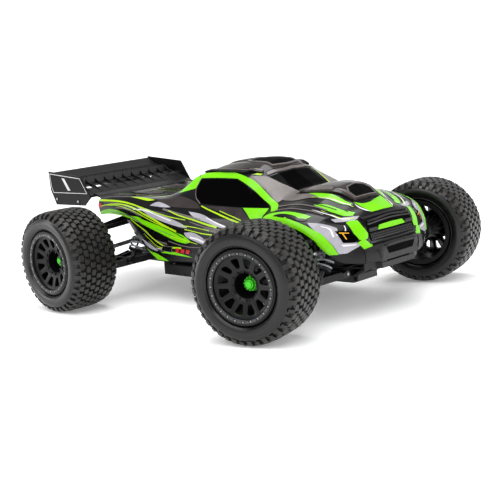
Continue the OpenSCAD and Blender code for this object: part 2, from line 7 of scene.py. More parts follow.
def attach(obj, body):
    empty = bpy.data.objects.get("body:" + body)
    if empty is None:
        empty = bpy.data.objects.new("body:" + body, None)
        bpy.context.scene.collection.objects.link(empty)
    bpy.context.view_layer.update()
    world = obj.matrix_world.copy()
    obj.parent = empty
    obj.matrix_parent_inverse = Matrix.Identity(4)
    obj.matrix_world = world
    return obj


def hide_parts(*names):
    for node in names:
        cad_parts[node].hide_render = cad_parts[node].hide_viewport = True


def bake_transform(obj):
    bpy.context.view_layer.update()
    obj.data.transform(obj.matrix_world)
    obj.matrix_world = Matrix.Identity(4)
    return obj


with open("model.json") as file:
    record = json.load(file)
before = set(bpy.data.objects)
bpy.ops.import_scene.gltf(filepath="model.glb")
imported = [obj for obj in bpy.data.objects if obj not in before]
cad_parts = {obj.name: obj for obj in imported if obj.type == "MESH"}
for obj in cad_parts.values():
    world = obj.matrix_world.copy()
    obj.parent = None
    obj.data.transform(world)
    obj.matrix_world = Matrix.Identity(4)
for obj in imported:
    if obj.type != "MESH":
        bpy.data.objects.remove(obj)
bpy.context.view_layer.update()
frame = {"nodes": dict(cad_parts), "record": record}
NODES = frame["nodes"]
random.seed(7)
MM = 0.001
CORNERS = ("fl", "fr", "rl", "rr")

# ------------------------------------------------------------------ materials
def _mat(name):
    m = bpy.data.materials.new(name)
    m.use_nodes = True
    nt = m.node_tree
    b = nt.nodes.get("Principled BSDF")
    return m, nt, b


def _coords(nt, scale):
    tc = nt.nodes.new("ShaderNodeTexCoord")
    mp = nt.nodes.new("ShaderNodeMapping")
    mp.inputs["Scale"].default_value = scale if hasattr(scale, "__len__") else (scale,) * 3
    nt.links.new(tc.outputs["Object"], mp.inputs["Vector"])
    return mp.outputs["Vector"]


def _noise(nt, vec, scale, detail=4.0, rough=0.55):
    n = nt.nodes.new("ShaderNodeTexNoise")
    n.inputs["Scale"].default_value = scale
    n.inputs["Detail"].default_value = detail
    n.inputs["Roughness"].default_value = rough
    nt.links.new(vec, n.inputs["Vector"])
    return n.outputs["Fac"]


def _ramp(nt, fac, stops):
    r = nt.nodes.new("ShaderNodeValToRGB")
    e = r.color_ramp.elements
    e[0].position, e[0].color = stops[0][0], (*stops[0][1], 1)
    e[1].position, e[1].color = stops[-1][0], (*stops[-1][1], 1)
    for p, c in stops[1:-1]:
        k = e.new(p)
        k.color = (*c, 1)
    nt.links.new(fac, r.inputs["Fac"])
    return r.outputs["Color"]


def _bump(nt, b, height, dist, strength=1.0):
    n = nt.nodes.new("ShaderNodeBump")
    n.inputs["Distance"].default_value = dist
    n.inputs["Strength"].default_value = strength
    nt.links.new(height, n.inputs["Height"])
    nt.links.new(n.outputs["Normal"], b.inputs["Normal"])
    return n


def _range(nt, fac, lo, hi):
    m = nt.nodes.new("ShaderNodeMapRange")
    m.inputs["From Min"].default_value = 0.3
    m.inputs["From Max"].default_value = 0.7
    m.inputs["To Min"].default_value = lo
    m.inputs["To Max"].default_value = hi
    nt.links.new(fac, m.inputs["Value"])
    return m.outputs["Result"]


def plastic(name, col, rough=0.5, grain=1800, depth=0.00006, vary=0.18, metal=0.0, coat=0.0, spec=0.5):
    """Moulded or anodised surface: a fine grain bump, patchy roughness and slight colour variation."""
    m, nt, b = _mat(name)
    v = _coords(nt, 1)
    big = _noise(nt, v, 22, 3)
    c0 = [x * (1 - vary) for x in col]
    c1 = [min(1, x * (1 + vary)) for x in col]
    nt.links.new(_ramp(nt, big, [(0.3, c0), (0.7, c1)]), b.inputs["Base Color"])
    nt.links.new(_range(nt, _noise(nt, v, 60, 4), rough * 0.88, min(1, rough * 1.14)), b.inputs["Roughness"])
    if depth:
        _bump(nt, b, _noise(nt, v, grain, 3), depth)
    b.inputs["Metallic"].default_value = metal
    b.inputs["Specular IOR Level"].default_value = spec
    if coat:
        b.inputs["Coat Weight"].default_value = coat
        b.inputs["Coat Roughness"].default_value = 0.06
    return m


def brushed(name, col, rough=0.35, scale=(4, 4, 900)):
    m, nt, b = _mat(name)
    v = _coords(nt, scale)
    n = _noise(nt, v, 1.0, 2)
    nt.links.new(_ramp(nt, n, [(0.3, [x * 0.82 for x in col]), (0.7, [min(1, x * 1.1) for x in col])]), b.inputs["Base Color"])
    nt.links.new(_range(nt, n, rough * 0.8, rough * 1.25), b.inputs["Roughness"])
    b.inputs["Metallic"].default_value = 1.0
    _bump(nt, b, n, 0.00002)
    return m


M = {}
def rubber(name, col, rough, dust=0.25, bump=0.0001, spec=0.34):
    m, nt, b = _mat(name)
    v = _coords(nt, 1)
    n1 = _noise(nt, v, 45, 5)
    n2 = _noise(nt, v, 900, 3)
    nt.links.new(_ramp(nt, n1, [(0.28, [x * (1 - dust) for x in col]), (0.55, col), (0.78, [x * (1 + dust) for x in col])]), b.inputs["Base Color"])
    nt.links.new(_range(nt, n1, rough * 0.9, min(1, rough * 1.12)), b.inputs["Roughness"])
    _bump(nt, b, n2, bump)
    b.inputs["Specular IOR Level"].default_value = spec
    return m


M["tread"] = rubber("rubber_tread", (0.0150, 0.0134, 0.0126), 0.33, 0.5, 0.0004, 0.40)
M["sidewall"] = rubber("rubber_sidewall", (0.0036, 0.0033, 0.0033), 0.25, 0.15, 0.00003, 0.40)
# darker, rougher rubber for the tread floor between the blocks: partly the carcass's own black, partly painted shade in
# the grooves
M["groove"] = rubber("rubber_groove", (0.0030, 0.0028, 0.0026), 0.6, 0.2, 0.00006)
M["wheel"] = plastic("wheel_satin_grey", (0.0045, 0.0044, 0.0050), 0.36, 2200, 0.00003, spec=0.24)
M["ring_pad"] = plastic("ring_pad_grey", (0.055, 0.055, 0.058), 0.3, 1500, 0.00003, 0.15, metal=0.5)
M["wheel_ring"] = plastic("wheel_gloss_ring", (0.0035, 0.0035, 0.004), 0.22, 2200, 0.00002)
M["bolt"] = plastic("bolt_head_grey", (0.30, 0.30, 0.31), 0.35, 900, 0.00002, 0.1, metal=0.8)
M["green_anod"] = plastic("green_anodised", (0.045, 0.52, 0.012), 0.30, 1200, 0.00003, 0.12, metal=0.55)
M["black"] = plastic("black_nylon", (0.0040, 0.0040, 0.0044), 0.40, 1500, 0.00008, spec=0.32)
# near-black, barely reflective: painted shade behind the grille and in the bonnet intake, roof scoop, chin recess and
# hub wells
M["black_deep"] = plastic("painted_shade_black", (0.002, 0.002, 0.002), 0.8, 1500, 0.00002, spec=0.04)
M["plate_black"] = plastic("plate_black", (0.0030, 0.0030, 0.0032), 0.4, 1300, 0.00004, spec=0.12)
M["steel"] = brushed("ground_steel", (0.50, 0.51, 0.53))
M["spring"] = plastic("spring_powder_coat", (0.30, 0.31, 0.33), 0.32, 1600, 0.00004, 0.1, metal=0.35)
M["grey_alloy"] = plastic("grey_anodised", (0.10, 0.105, 0.115), 0.35, 1400, 0.00003, 0.1, metal=0.8)
M["bumper"] = plastic("bumper_grey_nylon", (0.0100, 0.0096, 0.0102), 0.34, 1500, 0.00010, spec=0.32)
M["wing"] = plastic("wing_black_nylon", (0.0060, 0.0056, 0.0055), 0.34, 1300, 0.00010, spec=0.26)
M["motor"] = plastic("motor_can_black", (0.02, 0.02, 0.022), 0.3, 1500, 0.00003, 0.1, metal=0.6)
M["battery"] = plastic("battery_shrink_wrap", (0.035, 0.045, 0.07), 0.25, 240, 0.00012, 0.15)
M["esc"] = plastic("esc_case", (0.02, 0.02, 0.024), 0.5, 1500, 0.00006)
def paint(name, col, rough=0.2, vary=0.05, coat=0.1, spec=0.3):
    return plastic(name, col, rough, 500, 0.00001, vary, coat=coat, spec=spec)
M["green"] = paint("paint_lime_green", (0.160, 0.58, 0.003), spec=0.2)
# yellow-green paint for the pin lines; it also draws a painted highlight on the left windscreen pillar
M["lime"] = paint("yellow_green_paint_and_pillar_highlight", (0.36, 0.60, 0.008), spec=0.2)
M["paint_black"] = paint("paint_black", (0.0025, 0.0024, 0.0028), 0.18, spec=0.22)
M["charcoal"] = paint("paint_charcoal", (0.022, 0.0172, 0.0162), 0.24, 0.25)
# warm grey paint; the same material also draws painted highlights on the bonnet, the bulge and the roof rails
M["grey"] = paint("warm_grey_paint_and_highlights", (0.120, 0.104, 0.098), 0.24, 0.2)
M["silver"] = paint("paint_silver", (0.33, 0.32, 0.36), 0.25, 0.12)
# pale silver paint for the pale streaks; it also draws a painted highlight over the front arch
M["white"] = paint("pale_paint_and_arch_highlight", (0.72, 0.70, 0.72), 0.22, 0.06)
M["glass"] = plastic("window_black_gloss", (0.0010, 0.0010, 0.0012), 0.14, 500, 0.00001, 0.05, spec=0.012)
M["amber"] = paint("lamp_amber", (0.72, 0.36, 0.02))
M["red"] = paint("lamp_red", (0.45, 0.01, 0.012))
M["plate_grey"] = plastic("plate_charcoal", (0.0058, 0.0052, 0.0050), 0.36, 1300, 0.00003, 0.1, spec=0.09)
M["plate_line"] = plastic("plate_white_line", (0.55, 0.55, 0.56), 0.35, 1300, 0.00002, 0.06)
def floor_mat():
    m, nt, b = _mat("studio_floor")
    v = _coords(nt, 1)
    nt.links.new(_ramp(nt, _noise(nt, v, 3, 2), [(0.3, (0.93, 0.93, 0.93)), (0.7, (0.95, 0.95, 0.95))]), b.inputs["Base Color"])
    b.inputs["Roughness"].default_value = 0.9
    b.inputs["Specular IOR Level"].default_value = 0.1
    b.inputs["Emission Color"].default_value = (1, 1, 1, 1)
    b.inputs["Emission Strength"].default_value = 0.20
    return m
M["floor"] = floor_mat()

# ------------------------------------------------------------------ helpers
def mesh_obj(name, verts, faces, mat, body=None, smooth=True):
    me = bpy.data.meshes.new(name)
    me.from_pydata([tuple(v) for v in verts], [], faces)
    me.update()
    o = bpy.data.objects.new(name, me)
    bpy.context.scene.collection.objects.link(o)
    if mat is not None:
        me.materials.append(mat)
    if smooth:
        me.polygons.foreach_set("use_smooth", [True] * len(me.polygons))
    if body:
        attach(o, body)
    return o


def fix_normals(o):
    bm = bmesh.new()
    bm.from_mesh(o.data)
    bmesh.ops.recalc_face_normals(bm, faces=bm.faces)
    bm.to_mesh(o.data)
    bm.free()


def sharp(o, angle=35):
    """Splits shading at hard edges without changing the outline."""
    me = o.data
    bm = bmesh.new()
    bm.from_mesh(me)
    lim = math.radians(angle)
    for e in bm.edges:
        if len(e.link_faces) == 2:
            e.smooth = e.calc_face_angle(0) < lim
    for f in bm.faces:
        f.smooth = True
    bm.to_mesh(me)
    bm.free()


def bevel(o, width, segments=2, angle=30):
    b = o.modifiers.new("bevel", "BEVEL")
    b.width = width
    b.segments = segments
    b.limit_method = "ANGLE"
    b.angle_limit = math.radians(angle)
    b.harden_normals = False
    return o


def apply_mods(o):
    dg = bpy.context.evaluated_depsgraph_get()
    me = bpy.data.meshes.new_from_object(o.evaluated_get(dg), depsgraph=dg)
    o.modifiers.clear()
    o.data = me
    return o


def revolve(profile, n=96, closed=False):
    """profile: (radius, y) list, turned about +Y. Returns verts, faces."""
    k = len(profile)
    vs, fs = [], []
    for i in range(n):
        a = 2 * math.pi * i / n
        for r, y in profile:
            vs.append((r * math.cos(a), y, r * math.sin(a)))
    for i in range(n):
        j = (i + 1) % n
        for p in range(k if closed else k - 1):
            q = (p + 1) % k
            fs.append((i * k + p, i * k + q, j * k + q, j * k + p))
    return vs, fs


def box_mesh(lo, hi):
    (x0, y0, z0), (x1, y1, z1) = lo, hi
    v = [(x0, y0, z0), (x1, y0, z0), (x1, y1, z0), (x0, y1, z0), (x0, y0, z1), (x1, y0, z1), (x1, y1, z1), (x0, y1, z1)]
    f = [(0, 3, 2, 1), (4, 5, 6, 7), (0, 1, 5, 4), (1, 2, 6, 5), (2, 3, 7, 6), (3, 0, 4, 7)]
    return v, f


class Builder:
    """Collects loose solids into one mesh."""
    def __init__(self):
        self.v, self.f = [], []
    def add(self, verts, faces, matrix=None):
        n = len(self.v)
        if matrix is not None:
            verts = [tuple(matrix @ Vector(p)) for p in verts]
        self.v += [tuple(p) for p in verts]
        self.f += [tuple(i + n for i in f) for f in faces]
        return self
    def box(self, lo, hi, matrix=None):
        return self.add(*box_mesh(lo, hi), matrix)
    def cyl(self, r, p0, p1, n=20, r1=None):
        p0, p1 = Vector(p0), Vector(p1)
        d = (p1 - p0)
        q = d.to_track_quat("Z", "Y").to_matrix().to_4x4()
        q.translation = p0
        L = d.length
        r1 = r if r1 is None else r1
        vs = [(r * math.cos(2 * math.pi * i / n), r * math.sin(2 * math.pi * i / n), 0) for i in range(n)]
        vs += [(r1 * math.cos(2 * math.pi * i / n), r1 * math.sin(2 * math.pi * i / n), L) for i in range(n)]
        fs = [tuple(range(n))[::-1], tuple(range(n, 2 * n))]
        fs += [(i, (i + 1) % n, n + (i + 1) % n, n + i) for i in range(n)]
        return self.add(vs, fs, q)
    def prism(self, pts, axis, a, b):
        """pts: 2D outline; axis: the direction it is extruded along, from a to b."""
        n = len(pts)
        def place(p, t):
            if axis == "y":
                return (p[0], t, p[1])
            if axis == "x":
                return (t, p[0], p[1])
            return (p[0], p[1], t)
        vs = [place(p, a) for p in pts] + [place(p, b) for p in pts]
        fs = [tuple(range(n)), tuple(range(2 * n - 1, n - 1, -1))]
        fs += [(i, n + i, n + (i + 1) % n, (i + 1) % n) for i in range(n)]
        return self.add(vs, fs)
    def make(self, name, mat, body, bev=0.0, seg=2, angle=30):
        o = mesh_obj(name, self.v, self.f, mat, None, True)
        fix_normals(o)
        if bev:
            bevel(o, bev, seg, angle)
        sharp(o, 35)
        if body:
            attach(o, body)
        return o


# ------------------------------------------------------------------ camera, floor, lights
def camera():
    cam = bpy.data.cameras.new("camera")
    cam.sensor_width = 36
    cam.lens = 75.71
    o = bpy.data.objects.new("camera", cam)
    bpy.context.scene.collection.objects.link(o)
    right = Vector((0.70798513, 0.70137952, -0.08260646))
    up = Vector((-0.06578934, 0.18196037, 0.98110254))
    back = Vector((0.70315633, -0.68917138, 0.17496854))
    m = Matrix((right, up, back)).transposed().to_4x4()
    m.translation = Vector((1.435928, -1.366296, 0.429594))
    o.matrix_world = m
    bpy.context.scene.camera = o
    cam.clip_start, cam.clip_end = 0.01, 50


def area(name, loc, target, size, power, col=(1, 1, 1), size_y=None):
    d = bpy.data.lights.new(name, "AREA")
    d.energy = power
    d.color = col
    d.size = size
    if size_y:
        d.shape = "RECTANGLE"
        d.size_y = size_y
    o = bpy.data.objects.new(name, d)
    o.location = loc
    o.rotation_mode = "QUATERNION"
    o.rotation_quaternion = (Vector(target) - Vector(loc)).to_track_quat("-Z", "Y")
    bpy.context.scene.collection.objects.link(o)
    return o


def studio():
    w = bpy.data.worlds.new("studio")
    bpy.context.scene.world = w
    w.use_nodes = True
    nt = w.node_tree
    bg = nt.nodes["Background"]
    bg.inputs["Strength"].default_value = 1.0
    # white near the horizon, softer grey overhead, so that gloss has something to show
    tc = nt.nodes.new("ShaderNodeTexCoord")
    sep = nt.nodes.new("ShaderNodeSeparateXYZ")
    nt.links.new(tc.outputs["Generated"], sep.inputs[0])
    ramp = nt.nodes.new("ShaderNodeValToRGB")
    ramp.color_ramp.elements[0].position = 0.16
    ramp.color_ramp.elements[0].color = (1.03, 1.03, 1.03, 1)
    ramp.color_ramp.elements[1].position = 0.62
    ramp.color_ramp.elements[1].color = (0.34, 0.34, 0.35, 1)
    nt.links.new(sep.outputs["Z"], ramp.inputs[0])
    nt.links.new(ramp.outputs[0], bg.inputs["Color"])
    vs, fs = box_mesh((-30, -30, -0.02), (30, 30, 0.0))
    f = mesh_obj("floor", vs, fs, M["floor"], None, False)
    area("key_top", (-0.2, 0.6, 2.2), (0.0, 0, 0.1), 1.0, 14)
    area("side_soft", (1.7, 1.1, 0.9), (0.2, 0, 0.1), 0.8, 7)
    area("left_strip", (-1.3, -1.3, 0.35), (-0.1, -0.2, 0.1), 0.35, 5.5, size_y=1.2)
    s = bpy.data.lights.new("sky_fill", "SUN")
    s.energy = 3.1
    s.angle = math.radians(74)
    so = bpy.data.objects.new("sky_fill", s)
    so.location = (0, 0, 3)
    so.rotation_euler = Vector((0.16, -0.38, 1.0)).to_track_quat("Z", "Y").to_euler()
    bpy.context.scene.collection.objects.link(so)
    bpy.context.scene.view_settings.view_transform = "Standard"


camera()
studio()

# ------------------------------------------------------------------ body shell surface
STATIONS = [
    (-232, [(0, 194), (50, 194), (96, 196), (126, 194), (134, 188), (136, 178), (135, 168), (132, 160)]),
    (-196, [(0, 191), (50, 191), (96, 196), (128, 197), (137, 190), (140, 180), (139, 172), (137, 164)]),
    (-156, [(0, 191), (50, 191), (94, 195), (128, 198), (139, 188), (142, 178), (142, 170), (140, 163)]),
    (-116, [(0, 191), (48, 191), (92, 195), (126, 196), (140, 182), (143, 165), (140, 140), (134, 116)]),
    (-76, [(0, 193), (46, 194), (90, 197), (122, 194), (140, 178), (143, 155), (136, 112), (128, 80)]),
    (-36, [(0, 208), (42, 208), (88, 208), (118, 193), (138, 174), (141, 150), (134, 106), (126, 78)]),
    (4, [(0, 238), (40, 237), (84, 232), (112, 192), (134, 170), (138, 146), (132, 104), (124, 78)]),
    (44, [(0, 252), (40, 250), (82, 240), (110, 191), (130, 168), (135, 144), (130, 104), (122, 78)]),
    (94, [(0, 256), (40, 254), (80, 240), (110, 190), (128, 166), (133, 142), (129, 104), (122, 78)]),
    (134, [(0, 256), (40, 252), (80, 236), (112, 188), (128, 166), (132, 142), (129, 104), (122, 78)]),
    (156, [(0, 246), (40, 242), (80, 226), (114, 187), (130, 168), (134, 146), (130, 106), (122, 78)]),
    (194, [(0, 222), (40, 219), (86, 208), (116, 186), (134, 172), (139, 150), (136, 112), (126, 82)]),
    (224, [(0, 208), (40, 206), (84, 196), (118, 186), (140, 178), (147, 168), (148, 150), (146, 130)]),
    (259, [(0, 214), (36, 212), (80, 196), (118, 188), (141, 182), (148, 176), (149, 172), (149, 169)]),
    (294, [(0, 214), (34, 210), (78, 192), (116, 184), (141, 176), (148, 170), (149, 167), (149, 164)]),
    (329, [(0, 195), (34, 191), (74, 180), (110, 174), (136, 163), (144, 155), (146, 151), (145, 148)]),
    (344, [(0, 186), (32, 183), (70, 173), (102, 165), (126, 152), (136, 142), (138, 136), (136, 130)]),
    (364, [(0, 173), (30, 171), (62, 166), (80, 157), (100, 142), (112, 125), (114, 112), (110, 103)]),
    (373, [(0, 163), (28, 162), (54, 159), (66, 151), (80, 137), (92, 120), (95, 108), (95, 100)]),
    (382, [(0, 128), (28, 128), (50, 127), (62, 125), (72, 120), (76, 112), (77, 104), (76, 98)]),
    (394, [(0, 121), (25, 121), (44, 120), (48, 118), (50, 112), (50, 104), (49, 99), (48, 97)]),
]


def pchip(xs, ys, x):
    """Monotone cubic through the points, which never swings past them."""
    xs, ys = np.asarray(xs, float), np.asarray(ys, float)
    h = np.diff(xs)
    d = np.diff(ys) / h
    m = np.zeros(len(xs))
    for i in range(1, len(xs) - 1):
        if d[i - 1] * d[i] > 0:
            w1, w2 = 2 * h[i] + h[i - 1], h[i] + 2 * h[i - 1]
            m[i] = (w1 + w2) / (w1 / d[i - 1] + w2 / d[i])
    m[0], m[-1] = d[0], d[-1]
    i = min(max(int(np.searchsorted(xs, x) - 1), 0), len(h) - 1)
    t = (x - xs[i]) / h[i]
    return (ys[i] * (1 + 2 * t) * (1 - t) ** 2 + m[i] * h[i] * t * (1 - t) ** 2
            + ys[i + 1] * t * t * (3 - 2 * t) + m[i + 1] * h[i] * t * t * (t - 1))


def half_section(x):
    """Half of the cross-section at x, from the centre line to the lower edge, with rounded corners."""
    xs = [s[0] for s in STATIONS]
    pts = [np.array([pchip(xs, [s[1][k][0] for s in STATIONS], x), pchip(xs, [s[1][k][1] for s in STATIONS], x)]) for k in range(8)]
    out = [pts[0]]
    for k in range(1, 7):
        a, b, c = pts[k - 1], pts[k], pts[k + 1]
        la, lc = np.linalg.norm(a - b), np.linalg.norm(c - b)
        t = min(5.0, 0.34 * la, 0.34 * lc)
        p, q = b + (a - b) / max(la, 1e-6) * t, b + (c - b) / max(lc, 1e-6) * t
        for u in (0.0, 0.25, 0.5, 0.75, 1.0):
            out.append(p * (1 - u) ** 2 + 2 * b * u * (1 - u) + q * u * u)
        nxt = pts[k + 1] if k == 6 else None
        if k < 6:
            d, e = pts[k + 1], pts[k + 2]
            t2 = min(5.0, 0.34 * lc, 0.34 * np.linalg.norm(e - d))
            q2 = d + (b - d) / max(lc, 1e-6) * t2
            for u in (0.25, 0.5, 0.75):
                out.append(q * (1 - u) + q2 * u)
        else:
            for u in (0.25, 0.5, 0.75, 1.0):
                out.append(q * (1 - u) + c * u)
    # extra points between the centre line and the first corner
    first = [out[0] * (1 - u) + out[1] * u for u in (0.25, 0.5, 0.75)]
    return [out[0]] + first + out[1:]


def shell_grid():
    xs = sorted(set([-232 + 4 * i for i in range(157)] + [s[0] for s in STATIONS] + [378, 380, 386, 390, 394]))
    rows = []
    for x in xs:
        h = half_section(x)
        rows.append([(x, -p[0], p[1]) for p in reversed(h)] + [(x, p[0], p[1]) for p in h[1:]])
    vs = [p for r in rows for p in r]
    m = len(rows[0])
    fs = []
    for i in range(len(rows) - 1):
        for j in range(m - 1):
            fs.append((i * m + j, (i + 1) * m + j, (i + 1) * m + j + 1, i * m + j + 1))
    return vs, fs, rows

# ------------------------------------------------------------------ body shell
def shell():
    vs, fs, rows = shell_grid()
    m = len(rows[0])
    n0 = (len(rows) - 1) * m
    fs = fs + [tuple(range(m)), tuple(range(n0 + m - 1, n0 - 1, -1))]
    vs = [tuple(c * MM for c in p) for p in vs]
    me = bpy.data.meshes.new("shell_cast")
    me.from_pydata(vs, [], fs)
    bm = bmesh.new()
    bm.from_mesh(me)
    bmesh.ops.recalc_face_normals(bm, faces=bm.faces)
    for f in bm.faces:
        if f.normal.z > 0.5 and f.calc_center_median().z < 0.1:
            pass
    bmesh.ops.triangulate(bm, faces=bm.faces)
    tree = BVHTree.FromBMesh(bm)
    bm.free()
    o = mesh_obj("body_shell_skin", vs, fs, M["paint_black"], None, True)
    fix_normals(o)
    # make sure that the skin faces outward
    up = sum(p.normal.z * p.area for p in o.data.polygons)
    if up < 0:
        o.data.flip_normals()
    s = o.modifiers.new("thickness", "SOLIDIFY")
    s.thickness = 0.0018
    s.offset = -1
    apply_mods(o)
    sharp(o, 24)
    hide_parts("body_shell")
    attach(o, "body_shell")
    return tree


def smooth_outline(pts, per=6):
    """Closed Catmull-Rom outline; a point with a third value is kept as a hard corner."""
    n = len(pts)
    P = [Vector((p[0], p[1])) for p in pts]
    hard = [len(p) > 2 for p in pts]
    out = []
    for i in range(n):
        p0, p1, p2, p3 = P[i - 1], P[i], P[(i + 1) % n], P[(i + 2) % n]
        if hard[i]:
            p0 = p1
        if hard[(i + 1) % n]:
            p3 = p2
        if hard[i] and hard[(i + 1) % n]:
            out.append(p1)
            continue
        k = max(2, min(per, int((p2 - p1).length / 3) + 2))
        m1, m2 = (p2 - p0) * 0.5, (p3 - p1) * 0.5
        for j in range(k):
            t = j / k
            out.append(p1 * (2 * t ** 3 - 3 * t * t + 1) + m1 * (t ** 3 - 2 * t * t + t) + p2 * (-2 * t ** 3 + 3 * t * t) + m2 * (t ** 3 - t * t))
    return [(p.x, p.y) for p in out]


def strip(path, w0, w1=None):
    """Outline of a tapering stripe along a path of 2D points; w0 and w1 are the widths at its ends."""
    w1 = w0 if w1 is None else w1
    P = [Vector(p) for p in path]
    left, right = [], []
    for i, p in enumerate(P):
        a, b = P[max(i - 1, 0)], P[min(i + 1, len(P) - 1)]
        d = (b - a).normalized()
        nrm = Vector((-d.y, d.x))
        u = i / (len(P) - 1)
        w = (w0 + (w1 - w0) * u) / 2
        left.append(p + nrm * w)
        right.append(p - nrm * w)
    o = left + right[::-1]
    k = len(P)
    return [((p.x, p.y, 1) if i in (0, k - 1, k, 2 * k - 1) else (p.x, p.y)) for i, p in enumerate(o)]


RAYS = {
    "s": (lambda a, b: (Vector((a, -0.3, b)), Vector((0, 1, 0)))),
    "t": (lambda a, b: (Vector((a, -b, 0.4)), Vector((0, 0, -1)))),
    "f": (lambda a, b: (Vector((0.6, -a, b)), Vector((-1, 0, 0)))),
}
_layer = [0]


def skin(tree, name, jobs, mat, lift=0.0003, thick=0.0, step=4.0, body="body_shell", both=True, bev=0.0):
    """Paint or panels that lie on the shell. jobs: list of (view, outline in mm). Outlines drawn for the right side are mirrored."""
    V, F = [], []
    for view, pts in jobs:
        outline = smooth_outline(pts)
        bm = bmesh.new()
        vv = [bm.verts.new((a, b, 0)) for a, b in outline]
        try:
            bm.faces.new(vv)
        except ValueError:
            bm.free()
            continue
        bmesh.ops.triangulate(bm, faces=bm.faces)
        lo = [min(p[k] for p in outline) for k in (0, 1)]
        hi = [max(p[k] for p in outline) for k in (0, 1)]
        for k in (0, 1):
            t = math.floor(lo[k] / step) * step + step
            while t < hi[k]:
                co, no = [0, 0, 0], [0, 0, 0]
                co[k], no[k] = t, 1
                bmesh.ops.bisect_plane(bm, geom=bm.verts[:] + bm.edges[:] + bm.faces[:], plane_co=co, plane_no=no)
                t += step
        bmesh.ops.remove_doubles(bm, verts=bm.verts, dist=0.02)
        bm.verts.ensure_lookup_table()
        pos, nor, ok = [], [], []
        for v in bm.verts:
            o, d = RAYS[view](v.co.x * MM, v.co.y * MM)
            loc, n, i, dist = tree.ray_cast(o, d)
            good = True
            if loc is None or n.dot(d) > -0.02 or (view == "s" and loc.y > -0.02) or (view == "f" and loc.x < 0.30):
                guess = o + d * (0.3 - 0.135 if view == "s" else (0.4 - 0.19 if view == "t" else 0.6 - 0.37))
                loc, n, i, dist = tree.find_nearest(guess)
                good = loc is not None and (dist < 0.03)
            if n is not None and n.dot(d) > 0:
                n = -n
            pos.append(loc)
            nor.append(n)
            ok.append(good)
        # average the normals a little so that panels don't crack at the shell's facets
        for rep in range(2 if thick else 1):
            new = []
            for v in bm.verts:
                s = nor[v.index].copy()
                for e in v.link_edges:
                    s += nor[e.other_vert(v).index]
                new.append(s.normalized() if s.length > 1e-6 else nor[v.index])
            nor = new
        base = len(V)
        top = [p + n * (lift + thick) for p, n in zip(pos, nor)]
        V += top
        faces = [[v.index for v in f.verts] for f in bm.faces if all(ok[v.index] for v in f.verts)]
        F += [[i + base for i in f] for f in faces]
        if thick:
            base2 = len(V)
            V += [p - n * 0.0006 for p, n in zip(pos, nor)]
            count = {}
            for f in faces:
                for i in range(len(f)):
                    e = (f[i], f[(i + 1) % len(f)])
                    count[e] = 1
            for (a, b) in list(count):
                if (b, a) not in count:
                    F.append([a + base, a + base2, b + base2, b + base])
        bm.free()
    o = mesh_obj(name, V, F, mat, None, True)
    fix = bmesh.new()
    fix.from_mesh(o.data)
    bmesh.ops.delete(fix, geom=[v for v in fix.verts if not v.link_faces], context="VERTS")
    bmesh.ops.dissolve_degenerate(fix, dist=0.00001, edges=fix.edges)
    if both:
        dup = bmesh.ops.duplicate(fix, geom=fix.verts[:] + fix.edges[:] + fix.faces[:])
        vs2 = [g for g in dup["geom"] if isinstance(g, bmesh.types.BMVert)]
        fs2 = [g for g in dup["geom"] if isinstance(g, bmesh.types.BMFace)]
        for v in vs2:
            v.co.y = -v.co.y
        bmesh.ops.reverse_faces(fix, faces=fs2)
    fix.to_mesh(o.data)
    fix.free()
    # outward faces
    me = o.data
    bm = bmesh.new()
    bm.from_mesh(me)
    bm.normal_update()
    flip = []
    for f in bm.faces:
        c = f.calc_center_median()
        loc, n, i, dist = tree.find_nearest(c)
        if loc is not None and not thick:
            if f.normal.dot(c - loc) < 0:
                flip.append(f)
    if flip:
        bmesh.ops.reverse_faces(bm, faces=flip)
    if thick:
        bmesh.ops.recalc_face_normals(bm, faces=bm.faces)
    bm.to_mesh(me)
    bm.free()
    if thick:
        sharp(o, 40)
    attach(o, body)
    return o


TREE = shell()

# windows and dark panels
skin(TREE, "windscreen", [("t", [(163, 58, 1), (168, 37), (170, 0), (168, -37), (163, -58, 1), (183, -53), (200, -47.5), (226, -40, 1), (229, 0), (226, 40, 1), (200, 47.5), (183, 53)])], M["glass"], 0.0003, both=False)
skin(TREE, "side_windows", [("s", [(20, 229, 1), (67, 230), (112, 229.5, 1), (137, 220.5), (163, 209), (213, 187.5, 1), (178, 186.5), (144, 186), (89, 186.5), (40, 188.5, 1), (24, 198), (17, 214)])], M["glass"], 0.0003)
skin(TREE, "pillar_panels", [("t", [(137, 82, 1), (150, 66, 1), (163, 58.3, 1), (183, 53.3), (200, 47.8), (225, 40.5, 1), (220, 62), (216, 96, 1), (196, 91), (170, 84)])], M["grey"], 0.0003)
skin(TREE, "door_panels", [("s", [(42, 185, 1), (90, 185), (146, 184.5, 1), (166, 176), (188, 166, 1), (158, 164), (132, 168), (89, 178)]),
                           ("t", [(-67, 122, 1), (-49, 111), (-14, 108), (28, 112), (46, 119, 1), (6, 123), (-36, 128), (-57, 126)])], M["charcoal"], 0.0003)
skin(TREE, "roof_panel", [("t", [(10, 66, 1), (40, 70), (120, 72), (148, 62, 1), (156, 30), (158, 0), (156, -30), (148, -62, 1), (120, -72), (40, -70), (10, -66, 1), (4, 0)])], M["charcoal"], 0.0002, both=False)

